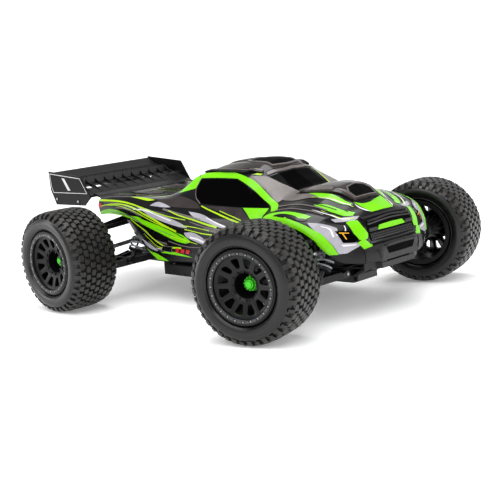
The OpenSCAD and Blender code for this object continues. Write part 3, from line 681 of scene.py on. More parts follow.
# lime green areas
skin(TREE, "green_roof_bands", [("s", [(-32, 203, 1), (-8, 221), (14, 236), (46, 240), (80, 240.5), (106, 239.5), (140, 231.5), (164, 219.5), (188, 207), (210, 195.5), (240, 185, 1), (228, 183, 1), (214, 188.5, 1), (186, 199.5), (161, 211), (138, 222), (113, 231, 1), (87, 231.5), (53, 231.5), (21, 230.5, 1), (15, 213, 1), (-8, 208)])], M["green"], 0.0005)
skin(TREE, "green_mirror_panels", [("s", [(151, 185, 1), (214, 186.5, 1), (219, 180), (222, 172, 1), (206, 169), (191, 166.5, 1)])], M["green"], 0.0006)
skin(TREE, "green_side_swooshes", [
    ("s", [(-231, 166, 1), (-222, 169), (-198, 173.5), (-180, 174), (-157, 171.5), (-128, 164), (-105, 163), (-91, 158.5), (-68, 153.5), (-40, 147), (-12, 138.5), (11, 133), (29, 121, 1), (14, 117.5, 1), (-5, 120), (-28, 127), (-53, 136), (-84, 146), (-109, 153.5), (-127, 158.5), (-152, 162), (-175, 163.5), (-205, 162.5), (-230, 161.5, 1)]),
    ("s", [(-101, 105, 1), (-90, 96.5), (-74, 93), (-60, 87), (-45, 80, 1), (-58, 79.5), (-76, 81, 1), (-90, 93)]),
    ("s", [(-60, 96, 1), (-38, 100), (-6, 97), (22, 91, 1), (0, 92), (-30, 94)]),
    ("s", [(66, 118, 1), (96, 124), (138, 122), (182, 128, 1), (150, 115), (110, 111), (84, 112)]),
    ("s", [(120, 90, 1), (150, 104), (178, 110), (214, 132, 1), (208, 118), (190, 98), (160, 88)]),
], M["green"], 0.0006)
skin(TREE, "green_fenders", [
    ("t", [(221, 144, 1), (236, 134), (256, 131), (279, 125), (312, 121, 1), (308, 131), (302, 138, 1), (288, 134), (268, 136), (252, 141), (240, 147)]),
], M["green"], 0.0006)
skin(TREE, "green_arch_lips", [
    ("s", [(212, 164, 1), (223, 171), (241, 178), (268, 177.5), (289, 174.5), (310, 168.5), (329, 160), (341, 151), (350, 140), (356, 131), (361, 118.5, 1), (346, 120.5, 1), (341, 133), (336, 143.5), (324, 152.5), (306, 161), (285, 166), (262, 169.5, 1), (248, 166.5), (238, 160), (230, 150), (224, 137, 1), (217, 150)]),
], M["green"], 0.0004, 0.0016, step=3.0)
# lighter yellow-green strip along the left windscreen pillar only: a painted highlight on top of the green rail
skin(TREE, "pillar_edge_painted_highlight", [("t", strip([(162, -59.5), (183, -54.4), (200, -49.0), (227, -41)], 2.6, 3.4))], M["lime"], 0.0009, both=False)
skin(TREE, "green_hood", [
    ("t", [(251, 57, 1), (272, 53), (290, 50), (308, 48), (325, 44, 1), (334, 41, 1), (326, 53), (312, 60), (284, 64)]),
    ("t", [(288, 87, 1), (301, 77), (317, 71), (336, 62), (348, 54, 1), (351, 64, 1), (338, 79), (319, 88), (304, 91)]),
], M["green"], 0.0006)
skin(TREE, "green_nose", [("t", [(331, 36, 1), (341, 24), (343, 0), (341, -24), (331, -36, 1), (346, -34), (361.5, -29, 1), (363, 0), (361.5, 29, 1), (346, 34)])], M["green"], 0.0006, both=False)
skin(TREE, "green_fangs", [
    ("f", [(86, 163.5, 1), (76, 165.5), (67, 165, 1), (65, 155), (60, 143, 1), (63, 136.5), (74, 134, 1), (82, 139), (85, 151)]),
    ("f", [(83, 132, 1), (71, 137, 1), (58, 125, 1), (64, 118, 1), (75, 119, 1)]),
], M["green"], 0.0008)

# yellow-green pin lines
skin(TREE, "lime_lines", [
    ("s", strip([(-228, 188.5), (-190, 189.5), (-153, 188.5), (-125, 185), (-97, 180), (-60, 173), (-18, 165.5), (20, 161)], 3.2, 1.4)),
    ("s", strip([(-222, 178), (-190, 183), (-150, 184), (-115, 178), (-90, 169.5), (-62, 160.5), (-36, 150.5), (-4, 139)], 1.6, 4.2)),
    ("s", strip([(-127, 158), (-112, 148.5), (-90, 137.5), (-74, 124.5), (-57, 114.5), (-38, 108.5), (0, 108)], 2.2, 3.2)),
    ("s", strip([(-25, 176), (3, 168.5), (40, 161.5), (72, 155), (98, 151)], 1.2, 4.0)),
    ("s", strip([(46, 184.5), (70, 178.5), (100, 172), (132, 165.5), (158, 161.5)], 1.6, 3.0)),
    ("s", strip([(18, 144.5), (40, 141.5), (62, 138.5), (86, 137.5)], 1.4, 2.4)),
    ("s", strip([(60, 106), (100, 100), (140, 98), (180, 104)], 2.0, 3.2)),
    ("t", [(-139, 127, 1), (-117, 122), (-72, 123, 1), (-92, 127.5)]),
    ("t", strip([(268, 68), (296, 60), (320, 52), (338, 46)], 1.2, 1.6)),
    ("t", strip([(312, 96), (330, 92), (345, 82), (356, 68)], 1.4, 2.0)),
], M["lime"], 0.0009)

# silver, pale and warm grey streaks; the grey ones drawn on the bonnet and a thin pale one over the front arch are
# painted highlights
skin(TREE, "silver_streaks", [
    ("s", [(-108, 181, 1), (-78, 178), (-48, 170), (-16, 162.5), (12, 153.5), (26, 147, 1), (6, 148), (-18, 152.5), (-45, 158.5), (-70, 165), (-90, 174)]),
    ("s", [(22, 175, 1), (59, 171), (92, 161), (122, 154, 1), (110, 150.5), (76, 157.5), (41, 166)]),
    ("s", [(15, 138, 1), (37, 139.5), (56, 133), (70, 125, 1), (58, 118, 1), (39, 123), (20, 130)]),
    ("s", [(-107, 121, 1), (-84, 111), (-66, 100, 1), (-72, 98.5), (-95, 106)]),
    ("s", [(316, 170, 1), (332, 167), (350, 158, 1), (357, 147), (363, 135, 1), (372, 133, 1), (377, 128, 1), (368, 118.5, 1), (361.4, 119, 1), (356.6, 131), (350.6, 140), (341.5, 151), (329.5, 160.5)]),
    ("t", [(-77, 134, 1), (-61, 125), (-24, 128, 1), (-42, 131.5)]),
    ("t", [(336, 102, 1), (344, 80), (358, 56, 1), (360, 68), (352, 84), (343, 100, 1)]),
], M["silver"], 0.0007)
skin(TREE, "pale_streaks_and_arch_highlight", [
    ("s", strip([(-118, 176.5), (-80, 175), (-46, 166.5), (-16, 158.5)], 1.2, 2.6)),
    ("s", strip([(-70, 104.5), (-40, 101.5)], 1.0, 2.0)),
    ("s", strip([(70, 166.5), (96, 158.5), (118, 153)], 1.0, 3.0)),
    ("s", strip([(28, 130), (46, 127.5), (62, 122)], 3.0, 4.0)),
    # this thin pale line inside the silver band over the front arch is a painted highlight
    ("s", strip([(334, 163.5), (345, 157), (353, 146)], 0.8, 1.4)),
    ("t", strip([(282, 66), (304, 60), (322, 53), (334, 46)], 1.0, 2.4)),
    ("t", [(334, 38, 1), (345, 37), (360, 30, 1), (355, 36), (343, 40)]),
    ("t", strip([(300, 104), (320, 99), (340, 88), (352, 74)], 1.6, 3.2)),
    ("f", [(111, 133, 1), (104, 132), (86, 130, 1), (86, 128.6, 1), (108, 129.6, 1)]),
    ("f", strip([(92, 160), (96, 152), (112, 148)], 1.6)),
], M["white"], 0.0009)
skin(TREE, "grey_streaks_and_bonnet_highlights", [
    ("s", strip([(-170, 178), (-140, 176.5), (-112, 170), (-92, 163.5)], 1.6, 4.0)),
    ("s", strip([(-60, 142.5), (-36, 137), (-8, 128.5), (12, 124)], 1.0, 1.4)),
    ("s", strip([(-40, 178.5), (-10, 173), (24, 167.5), (60, 162)], 3.0, 3.0)),
    ("s", strip([(66, 147), (100, 143), (140, 142), (190, 150)], 3.0, 9.0)),
    ("s", strip([(22, 230), (17, 214), (24, 198), (40, 188)], 1.5)),
    # the three outlines drawn from above lie on the bonnet beside the bulge and are painted highlights
    ("t", [(216, 86, 1), (218, 56, 1), (256, 58), (282, 64, 1), (261, 73), (241, 84)]),
    ("t", strip([(228, 108), (256, 99), (288, 93), (318, 88)], 5.0, 4.0)),
    ("t", strip([(236, 124), (262, 117), (292, 110), (322, 103)], 3.0, 4.0)),
], M["grey"], 0.0007)
skin(TREE, "flank_streaks_grey", [
    ("s", strip([(-212, 184.5), (-170, 186), (-130, 181), (-100, 174.5)], 1.0, 2.4)),
    ("s", strip([(-190, 168.5), (-150, 167), (-118, 160), (-96, 150)], 1.0, 3.0)),
    ("s", strip([(-100, 140), (-80, 128), (-62, 119), (-36, 114)], 1.2, 3.4)),
    ("s", strip([(-30, 120), (10, 112), (50, 112)], 2.4, 1.2)),
    ("s", strip([(-88, 117), (-70, 107), (-58, 98)], 2.4, 1.2)),
    ("s", strip([(30, 158), (70, 150), (118, 146)], 1.2, 2.4)),
    ("s", strip([(60, 128), (100, 132), (150, 134), (196, 142)], 1.2, 4.0)),
], M["grey"], 0.0008)
skin(TREE, "flank_streaks_lime", [
    ("s", strip([(-205, 181), (-160, 181), (-118, 173.5), (-84, 163), (-50, 152), (-18, 143)], 1.0, 1.8)),
    ("s", strip([(-95, 131), (-78, 117.5), (-64, 108), (-44, 104)], 1.0, 2.2)),
    ("s", strip([(-20, 130), (14, 124), (44, 118)], 2.4, 1.0)),
    ("s", strip([(10, 150.5), (40, 149), (80, 144)], 1.6, 1.0)),
    ("s", strip([(96, 178), (130, 171), (160, 166)], 1.0, 1.8)),
], M["lime"], 0.0010)
skin(TREE, "bonnet_edge_lines", [
    ("t", strip([(230, 100), (262, 91), (296, 84), (326, 74)], 1.6, 2.4)),
    ("t", strip([(256, 50), (286, 45.6), (318, 39)], 1.2, 1.6)),
    ("t", strip([(240, 117), (270, 109), (300, 103), (330, 92)], 1.4, 2.0)),
], M["paint_black"], 0.0010)
skin(TREE, "black_lines", [
    ("s", strip([(-130, 168), (-96, 164), (-60, 153.5), (-20, 141.5), (12, 128)], 0.8, 1.8)),
    ("t", [(254, 147, 1), (268, 143), (290, 139), (312, 129, 1), (308, 138), (282, 145.5)]),
    ("t", strip([(262, 80), (292, 76), (318, 70), (340, 62)], 1.4, 1.8)),
], M["paint_black"], 0.0010)
# generic badge: slanted outlined bars instead of lettering
skin(TREE, "side_badges", [
    ("s", [(-58, 99, 1), (-50, 110.5, 1), (-22, 110, 1), (-28, 98, 1)]),
], M["grey"], 0.0010)
skin(TREE, "side_badge_centres", [
    ("s", [(-55, 100.5, 1), (-48.5, 109.2, 1), (-24.5, 108.7, 1), (-29.3, 99.5, 1)]),
], M["paint_black"], 0.0013)
skin(TREE, "side_badge_bars", [
    ("s", [(-18, 99, 1), (-13, 107.5, 1), (-4, 107, 1), (-9, 98.8, 1)]),
    ("s", [(-5, 98.7, 1), (0, 106.8, 1), (9, 106.3, 1), (4, 98.4, 1)]),
    ("s", [(8, 98.3, 1), (13, 106, 1), (22, 105.5, 1), (17, 98, 1)]),
], M["red"], 0.0013)

# lamps
skin(TREE, "headlamp_glass", [("f", [(110.5, 154, 1), (96, 152.6), (88.5, 151, 1), (83, 144), (79.5, 137.5, 1), (87, 133, 1), (98, 134), (107, 136.5, 1), (109.5, 145)])], M["glass"], 0.0011, step=2.5)
skin(TREE, "headlamp_strips", [("f", [(106.6, 151.2, 1), (92.4, 149.0, 1), (92.4, 147.6, 1), (106.6, 149.6, 1)]),
                             ("f", [(103.6, 149.8, 1), (101.6, 149.5, 1), (99.4, 140, 1), (101.2, 139.6, 1)])], M["amber"], 0.0016, step=1.2)
skin(TREE, "tail_lamps", [("s", [(-231.6, 182.5, 1), (-219, 183, 1), (-218.5, 176.5, 1), (-231, 175, 1)])], M["red"], 0.0012, step=2.0)

# grille
# black sheet behind the grille bars: painted shade standing for the grille opening
skin(TREE, "grille_backing_painted_shade", [("f", [(57, 163, 1), (30, 166), (0, 167), (-30, 166), (-57, 163, 1), (-60, 146), (-57, 129, 1), (0, 127), (57, 129, 1), (60, 146)])], M["black_deep"], 0.0004, both=False)
skin(TREE, "grille_green_bar", [("f", [(30, 152.5, 1), (0, 153.5), (-30, 152.5, 1), (-36, 145.5, 1), (0, 145), (36, 145.5, 1)])], M["green"], 0.0006, 0.0022, both=False)

skin(TREE, "grille_slats", [
    ("f", [(55, 161.5, 1), (0, 165.5), (-55, 161.5, 1), (-55, 159.2, 1), (0, 163), (55, 159.2, 1)]),
    ("f", [(57, 158.0, 1), (0, 161.4), (-57, 158.0, 1), (-57, 155.8, 1), (0, 159.0), (57, 155.8, 1)]),
    ("f", [(58, 145.2, 1), (36, 145.0, 1), (38, 150.8, 1), (57, 150.2, 1)]),
    ("f", [(-58, 145.2, 1), (-36, 145.0, 1), (-38, 150.8, 1), (-57, 150.2, 1)]),
], M["bumper"], 0.0006, 0.0028, both=False)
skin(TREE, "grille_mesh_bars", [("f", [(x, 142.8, 1), (x + 1.5, 142.8, 1), (x + 1.5, 131.0, 1), (x, 131.0, 1)]) for x in range(-54, 55, 4)]
     + [("f", [(-55, z + 1.1, 1), (55, z + 1.1, 1), (55, z, 1), (-55, z, 1)]) for z in (132.5, 136.2, 139.9)], M["wheel_ring"], 0.0006, 0.0009, step=3.0, both=False)
skin(TREE, "grille_surround", [
    ("f", [(60, 167.2, 1), (0, 169.6), (-60, 167.2, 1), (-59, 164.6, 1), (0, 167.2), (59, 164.6, 1)]),
    ("f", [(62, 130.2, 1), (0, 128.6), (-62, 130.2, 1), (-61, 126.6, 1), (0, 125.4), (61, 126.6, 1)]),
], M["bumper"], 0.0006, 0.0018, both=False)
skin(TREE, "chin_panel", [("f", [(76, 120.5, 1), (46, 123.5), (0, 124.2), (-46, 123.5), (-76, 120.5, 1), (-76, 99.5, 1), (-49, 98.4), (0, 98.2), (49, 98.4), (76, 99.5, 1)])], M["bumper"], 0.0005, 0.0010, both=False)
# black sheet laid on the chin panel: painted shade standing for its recess
skin(TREE, "chin_recess_painted_shade", [("f", [(38, 118.5, 1), (0, 119.2), (-38, 118.5, 1), (-32, 107.5, 1), (0, 107.0), (32, 107.5, 1)])], M["black_deep"], 0.0018, both=False)
skin(TREE, "chin_ribs", [
    ("f", [(73, 118.5, 1), (52, 121.0, 1), (47, 105.0, 1), (50.5, 102.5, 1), (55, 117.0, 1), (72, 115.0, 1)]),
    ("f", [(40, 121.2, 1), (-40, 121.2, 1), (-34, 119.6, 1), (34, 119.6, 1)]),
], M["bumper"], 0.0014, 0.0014)
# raised bonnet with its intake
skin(TREE, "bonnet_bulge", [("t", [(222, 46, 1), (240, 54), (262, 55, 1), (296, 45), (318, 37), (331, 33, 1), (334, 0), (331, -33, 1), (318, -37), (296, -45), (262, -55, 1), (240, -54), (222, -46, 1), (224, 0)])], M["charcoal"], 0.0004, 0.0030, both=False)
# grey patches on the flanks of the charcoal bulge: painted highlights
skin(TREE, "bonnet_bulge_painted_highlights", [
    ("t", [(226, 42, 1), (242, 49), (262, 50, 1), (292, 41, 1), (286, 33), (256, 36), (236, 32)]),
    ("t", [(296, 38, 1), (316, 32), (328, 29.5, 1), (326, 25), (310, 26, 1)]),
], M["grey"], 0.0037)
# black sheet on the bulge: painted shade standing for the intake opening
skin(TREE, "bonnet_intake", [("t", [(304, 0, 1), (305, 20, 1), (314, 27.5, 1), (327, 25.5, 1), (330, 0, 1), (327, -25.5, 1), (314, -27.5, 1), (305, -20, 1)])], M["black_deep"], 0.0040, both=False)
skin(TREE, "bonnet_intake_frame", [
    ("t", [(302.4, 0, 1), (303.4, 21, 1), (313.4, 29.4, 1), (328.6, 27.2, 1), (331.6, 0, 1), (329.6, 0, 1), (326.6, 25.0, 1), (314.2, 27.0, 1), (305.4, 19.6, 1), (304.4, 0, 1)]),
], M["grey"], 0.0042, 0.0008)
# roof rails, scoop and rear screen
skin(TREE, "roof_rails", [("t", [(6, 62, 1), (20, 73), (44, 78.5), (112, 77.5), (128, 73), (150, 61, 1), (149, 55, 1), (122, 66), (108, 70), (44, 71), (24, 66), (10, 57, 1)])], M["paint_black"], 0.0006, 0.0036)
# thin grey strips along the tops of the black roof rails: painted highlights
skin(TREE, "roof_rail_painted_highlights", [("t", [(34, 73.4, 1), (110, 73.6), (127, 69.4, 1), (126, 67.6, 1), (109, 71.6), (34, 71.4, 1)]), ("t", [(128, 69, 1), (149, 57.6, 1), (148, 55.4, 1), (126, 66.6, 1)])], M["grey"], 0.0044)
# black sheet on the roof: painted shade standing for the scoop's recess
skin(TREE, "roof_scoop", [("t", [(86, 26, 1), (104, 34, 1), (146, 30, 1), (152, 0, 1), (146, -30, 1), (104, -34, 1), (86, -26, 1), (84, 0)])], M["black_deep"], 0.0006, both=False)
skin(TREE, "roof_scoop_frame", [("t", [(83, 28.5, 1), (103, 37, 1), (149, 33, 1), (156, 0, 1), (152.5, 0, 1), (146.5, 30.5, 1), (104, 34.3, 1), (85.6, 26, 1), (84, 0, 1), (80.5, 0, 1)])], M["grey"], 0.0008, 0.0014)
skin(TREE, "roof_ridge", [("t", [(14, 12, 1), (76, 20, 1), (80, 0, 1), (76, -20, 1), (14, -12, 1), (10, 0, 1)])], M["charcoal"], 0.0006, 0.0022, both=False)
skin(TREE, "roof_visor", [("t", [(154, 54, 1), (160, 30), (162, 0), (160, -30), (154, -54, 1), (160, -57, 1), (166, -30), (168, 0), (166, 30), (160, 57, 1)])], M["grey"], 0.0006, 0.0012, both=False)
skin(TREE, "roof_green_tips", [("t", [(140, 74, 1), (144, 66, 1), (152, 60, 1), (151, 66, 1)])], M["lime"], 0.0012)
skin(TREE, "rear_screen", [("t", [(-34, 66, 1), (-8, 70), (4, 60, 1), (6, 0), (4, -60, 1), (-8, -70), (-34, -66, 1), (-38, 0)])], M["glass"], 0.0004, both=False)
skin(TREE, "rear_deck_louvres", [("t", [(x, 60, 1), (x + 6, 62, 1), (x + 7, 20, 1), (x + 2, 18, 1)]) for x in (-64, -80, -96, -112)], M["charcoal"], 0.0004, 0.0016)
skin(TREE, "rear_deck_panels", [
    ("t", [(-128, 92, 1), (-60, 92, 1), (-46, 84, 1), (-56, 70, 1), (-128, 68, 1), (-140, 80, 1)]),
    ("t", [(-222, 60, 1), (-160, 66, 1), (-150, 50, 1), (-160, 20, 1), (-222, 18, 1)]),
    ("t", [(-222, 112, 1), (-160, 114, 1), (-156, 100, 1), (-222, 96, 1)]),
], M["charcoal"], 0.0004, 0.0010)
skin(TREE, "rear_deck_lines", [("t", strip([(-226, 88), (-190, 84), (-150, 90), (-100, 102), (-56, 102)], 1.4, 2.4)), ("t", strip([(-220, 10), (-150, 12), (-60, 9)], 1.2, 1.8))], M["lime"], 0.0008)

# ------------------------------------------------------------------ wheels
WHEEL_AT = {
    "fl": (Vector((0.27361, 0.24350, 0.095)), math.radians(15)),
    "fr": (Vector((0.29639, -0.24350, 0.095)), math.radians(195)),
    "rl": (Vector((-0.197, 0.245, 0.095)), 0.0),
    "rr": (Vector((-0.197, -0.245, 0.095)), math.pi),
}


def wheel_matrix(c):
    p, a = WHEEL_AT[c]
    return Matrix.Translation(p) @ Matrix.Rotation(a, 4, "Z")


def crown(y):
    """Radius of the tread floor at a distance y from the middle plane, in mm."""
    a = abs(y)
    if a < 26:
        return 91.0 - 0.4 * (a / 26) ** 2
    return 90.6 - 3.4 * ((a - 26) / 16) ** 2


def tyre_carcass():
    outer = [(57.2, 41.2), (60.5, 41.8), (61.8, 44.0), (63.0, 46.6), (64.6, 47.9), (65.2, 47.4), (66.0, 48.2), (69.5, 49.0),
             (73.5, 49.5), (77.0, 49.3), (80.0, 48.4), (82.2, 47.0), (83.2, 46.7), (83.8, 45.6), (85.2, 44.2), (86.6, 42.6), (crown(40), 40), (crown(36), 36), (crown(30), 30), (crown(22), 22), (crown(12), 12)]
    prof = [(r * MM, y * MM) for r, y in outer] + [(crown(0) * MM, 0.0)] + [(r * MM, -y * MM) for r, y in reversed(outer)]
    inner = [(57.0, -35), (62, -38), (74, -44), (83, -42), (87, -34), (88, 0), (87, 34), (83, 42), (74, 44), (62, 38), (57.0, 35)]
    prof += [(r * MM, y * MM) for r, y in inner]
    return revolve(prof, 120, closed=True)


def block(outline, h0, skin_r, top=0.84, twist=0.0):
    """A chamfered tread block. outline: (angle in mm along the tread, y) in mm. Follows the crown of the tyre."""
    k = len(outline)
    cx = sum(p[0] for p in outline) / k
    cy = sum(p[1] for p in outline) / k
    rings = []
    for s, h in ((1.0, -0.7), (0.985, h0 * 0.72), (top, h0)):
        ring = []
        for a, y in outline:
            aa, yy = cx + (a - cx) * s, cy + (y - cy) * s
            r = skin_r(yy) + h
            t = aa / 95.0
            ring.append((r * math.cos(t) * MM, yy * MM, r * math.sin(t) * MM))
        rings.append(ring)
    vs = rings[0] + rings[1] + rings[2]
    fs = []
    for i in range(k):
        j = (i + 1) % k
        fs.append((i, j, k + j, k + i))
        fs.append((k + i, k + j, 2 * k + j, 2 * k + i))
    fs.append(tuple(2 * k + i for i in range(k)))
    return vs, fs


def tyre_blocks():
    B = Builder()
    n = 40
    pitch = 2 * math.pi * 95 / n
    centre = [
        [(-5.6, -3.6), (-1.0, -6.2), (5.8, -5.0), (4.6, 0.6), (5.4, 3.6), (-0.6, 5.8), (-5.4, 4.4), (-4.2, 0.2)],
        [(-5.8, -5.2), (1.4, -4.4), (5.6, -5.6), (5.2, 2.4), (2.6, 5.6), (-3.4, 4.8), (-5.6, 2.2)],
        [(-5.2, -4.6), (-0.6, -5.4), (5.6, -3.0), (5.2, 4.8), (0.6, 5.4), (-5.6, 3.4)],
    ]
    rows = [(-34.5, 0.15), (-23.2, 0.62), (-11.6, 0.12), (0.0, 0.6), (11.6, 0.1), (23.2, 0.58), (34.5, 0.08)]
    for ri, (y, off) in enumerate(rows):
        for i in range(n):
            o = centre[(i * 5 + ri * 2) % 3]
            s = 1 if (i + ri) % 2 else -1
            g = (0.94, 1.04, 0.98)[(i + ri) % 3]
            pts = [((i + off) * pitch + a * 1.08 * g, y + b * s * 0.98) for a, b in o]
            if s < 0:
                pts = pts[::-1]
            h = 4.3 if abs(y) < 30 else 4.2
            B.add(*block(pts, h - (0.25 if (i + ri) % 4 == 0 else 0), crown))
    # shoulder lugs that fold over the edge on to the sidewall
    for side in (1, -1):
        for i in range(n):
            off = 0.42 if side > 0 else 0.9
            w = 4.7 if i % 2 else 3.7
            a0 = (i + off) * pitch
            far = 47.6 if i % 2 else 46.6
            low = 83.6 if i % 2 else 85.6
            path = [(93.0, 38.6), (91.6, 42.6), (88.4, 45.8), (low, far)]
            base = [(86.0, 37.6), (85.0, 41.0), (83.0, 43.4), (low - 0.6, 44.4)]
            vs, fs = [], []
            for (r, y), (rb, yb) in zip(path, base):
                for dx, rr, yy in ((-w, rb, yb), (-w * 0.86, r, y), (w * 0.86, r, y), (w, rb, yb)):
                    t = (a0 + dx) / 95.0
                    vs.append((rr * math.cos(t) * MM, side * yy * MM, rr * math.sin(t) * MM))
            for k in range(3):
                for q in range(3):
                    f = (k * 4 + q, k * 4 + q + 1, (k + 1) * 4 + q + 1, (k + 1) * 4 + q)
                    fs.append(f if side > 0 else f[::-1])
            fs.append((0, 1, 2, 3) if side < 0 else (3, 2, 1, 0))
            fs.append((12, 13, 14, 15) if side > 0 else (15, 14, 13, 12))
            B.add(vs, fs)
    return B


def tyres():
    vs, fs = tyre_carcass()
    B = Builder()
    B.add(vs, fs)
    nc = len(fs)
    T = tyre_blocks()
    B.add(T.v, T.f)
    base = mesh_obj("tyre_master", B.v, B.f, M["sidewall"], None, True)
    me = base.data
    me.materials.append(M["tread"])
    me.materials.append(M["groove"])
    for p in me.polygons:
        c = p.center
        r = math.hypot(c.x, c.z)
        if p.index >= nc:
            p.material_index = 1
        # the tread floor takes the darker groove rubber: partly carcass black, partly painted shade in the grooves
        elif r > 0.0862 and abs(c.y) < 0.043:
            p.material_index = 2
    fix_normals(base)
    sharp(base, 32)
    for c in CORNERS:
        o = bpy.data.objects.new("tyre_tread_" + c, me)
        bpy.context.scene.collection.objects.link(o)
        o.matrix_world = wheel_matrix(c)
        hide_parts("tyre_" + c)
        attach(o, "wheel_" + c)
    bpy.data.objects.remove(base)


def place(o, c, body, slot):
    o.data.transform(wheel_matrix(c))
    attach(o, body)
    return o


def ring_y(r, y0, y1, a):
    return (r * math.cos(a) * MM, y0 * MM, r * math.sin(a) * MM), (r * math.cos(a) * MM, y1 * MM, r * math.sin(a) * MM)


def disc_height(r):
    """Height of the outer face of the wheel disc at a radius, in mm."""
    pts = [(20.0, 30.0), (22.5, 33.5), (28.0, 35.0), (44.5, 39.6), (47.5, 41.6), (50.0, 42.2)]
    for (r0, y0), (r1, y1) in zip(pts, pts[1:]):
        if r <= r1:
            return y0 + (y1 - y0) * max(0.0, (r - r0)) / (r1 - r0)
    return 42.2


def rounded(pts, rad, n=4):
    """Closed outline with rounded corners."""
    out = []
    k = len(pts)
    for i in range(k):
        a, b, c = Vector(pts[i - 1]), Vector(pts[i]), Vector(pts[(i + 1) % k])
        t = min(rad, (a - b).length * 0.45, (c - b).length * 0.45)
        p, q = b + (a - b).normalized() * t, b + (c - b).normalized() * t
        for j in range(n + 1):
            u = j / n
            out.append(tuple(p * (1 - u) ** 2 + 2 * b * u * (1 - u) + q * u * u))
    return out


def rim_mesh():
    """Wheel disc with twelve rounded windows, on a barrel with its two lips."""
    bm = bmesh.new()
    def loop(pts):
        vs = [bm.verts.new((x * MM, 0, z * MM)) for x, z in pts]
        for i in range(len(vs)):
            bm.edges.new((vs[i - 1], vs[i]))
    for r, n in ((20.0, 72), (50.0, 144)):
        loop([(r * math.cos(2 * math.pi * i / n), r * math.sin(2 * math.pi * i / n)) for i in range(n)])
    win = rounded([(28.6, -3.0), (43.9, -7.9), (45.2, 0.0), (43.9, 7.9), (28.6, 3.0)], 3.4)
    holes = []
    for i in range(12):
        a = 2 * math.pi * (i + 0.5) / 12
        pts = [(r * math.cos(a) - t * math.sin(a), r * math.sin(a) + t * math.cos(a)) for r, t in win]
        loop(pts)
        holes.append(pts)
    bmesh.ops.triangle_fill(bm, use_beauty=True, edges=bm.edges[:])
    # rings of edges so that the face can follow its profile
    tri = [[tuple(v.co) for v in f.verts] for f in bm.faces]
    inside = []
    for f in list(bm.faces):
        c = f.calc_center_median()
        for pts in holes:
            hx = sum(q[0] for q in pts) / len(pts) * MM
            hz = sum(q[1] for q in pts) / len(pts) * MM
            if math.hypot(c.x - hx, c.z - hz) < 0.0118:
                n, odd = len(pts), False
                for i in range(n):
                    x0, z0 = pts[i - 1][0] * MM, pts[i - 1][1] * MM
                    x1, z1 = pts[i][0] * MM, pts[i][1] * MM
                    if (z0 > c.z) != (z1 > c.z) and c.x < (x1 - x0) * (c.z - z0) / (z1 - z0) + x0:
                        odd = not odd
                if odd:
                    inside.append(f)
                    break
    bmesh.ops.delete(bm, geom=inside, context="FACES")
    bmesh.ops.subdivide_edges(bm, edges=[e for e in bm.edges if e.calc_length() > 0.006], cuts=1)
    bmesh.ops.triangulate(bm, faces=[f for f in bm.faces if len(f.verts) > 4])
    bmesh.ops.recalc_face_normals(bm, faces=bm.faces)
    if sum(f.normal.y * f.calc_area() for f in bm.faces) < 0:
        bmesh.ops.reverse_faces(bm, faces=bm.faces)
    for v in bm.verts:
        v.co.y = disc_height(math.hypot(v.co.x, v.co.z) * 1000) * MM
    me = bpy.data.meshes.new("disc")
    bm.to_mesh(me)
    bm.free()
    o = bpy.data.objects.new("disc", me)
    bpy.context.scene.collection.objects.link(o)
    s = o.modifiers.new("t", "SOLIDIFY")
    s.thickness = 0.0052
    s.offset = -1
    bv = o.modifiers.new("b", "BEVEL")
    bv.width = 0.0007
    bv.segments = 2
    bv.limit_method = "ANGLE"
    bv.angle_limit = math.radians(50)
    apply_mods(o)
    B = Builder()
    B.add([tuple(v.co) for v in o.data.vertices], [tuple(p.vertices) for p in o.data.polygons])
    bpy.data.objects.remove(o)
    barrel = [(49.6, 42.4), (50.2, 44.4), (56.8, 45.8), (59.2, 46.0), (60.0, 45.2), (60.0, 42.8), (57.6, 42.2), (57.0, 30), (56.4, 0), (57.0, -30), (57.4, -42.4), (60, -42.8), (60, -45.4),
              (59.4, -46), (52.6, -46), (52, -45.2), (52.4, -30), (53.0, 0), (52.4, 30), (50.4, 37.2), (49.6, 38.0)]
    B.add(*revolve([(r * MM, y * MM) for r, y in barrel], 120, closed=True))
    hub = [(5.4, 9.6), (14.5, 9.6), (18.6, 11.5), (19.6, 27.5), (20.2, 30.6), (22.0, 32.0), (25.0, 30.0), (22.0, 24), (17, 2), (15, -13), (12.6, -13), (12.6, -6), (5.4, -6)]
    B.add(*revolve([(r * MM, y * MM) for r, y in hub], 72, closed=True))
    for i in range(12):
        a = 2 * math.pi * i / 12
        B.box((0.021, 0.014, -0.0011), (0.050, 0.0345, 0.0011), Matrix.Rotation(-a, 4, "Y"))
    return B


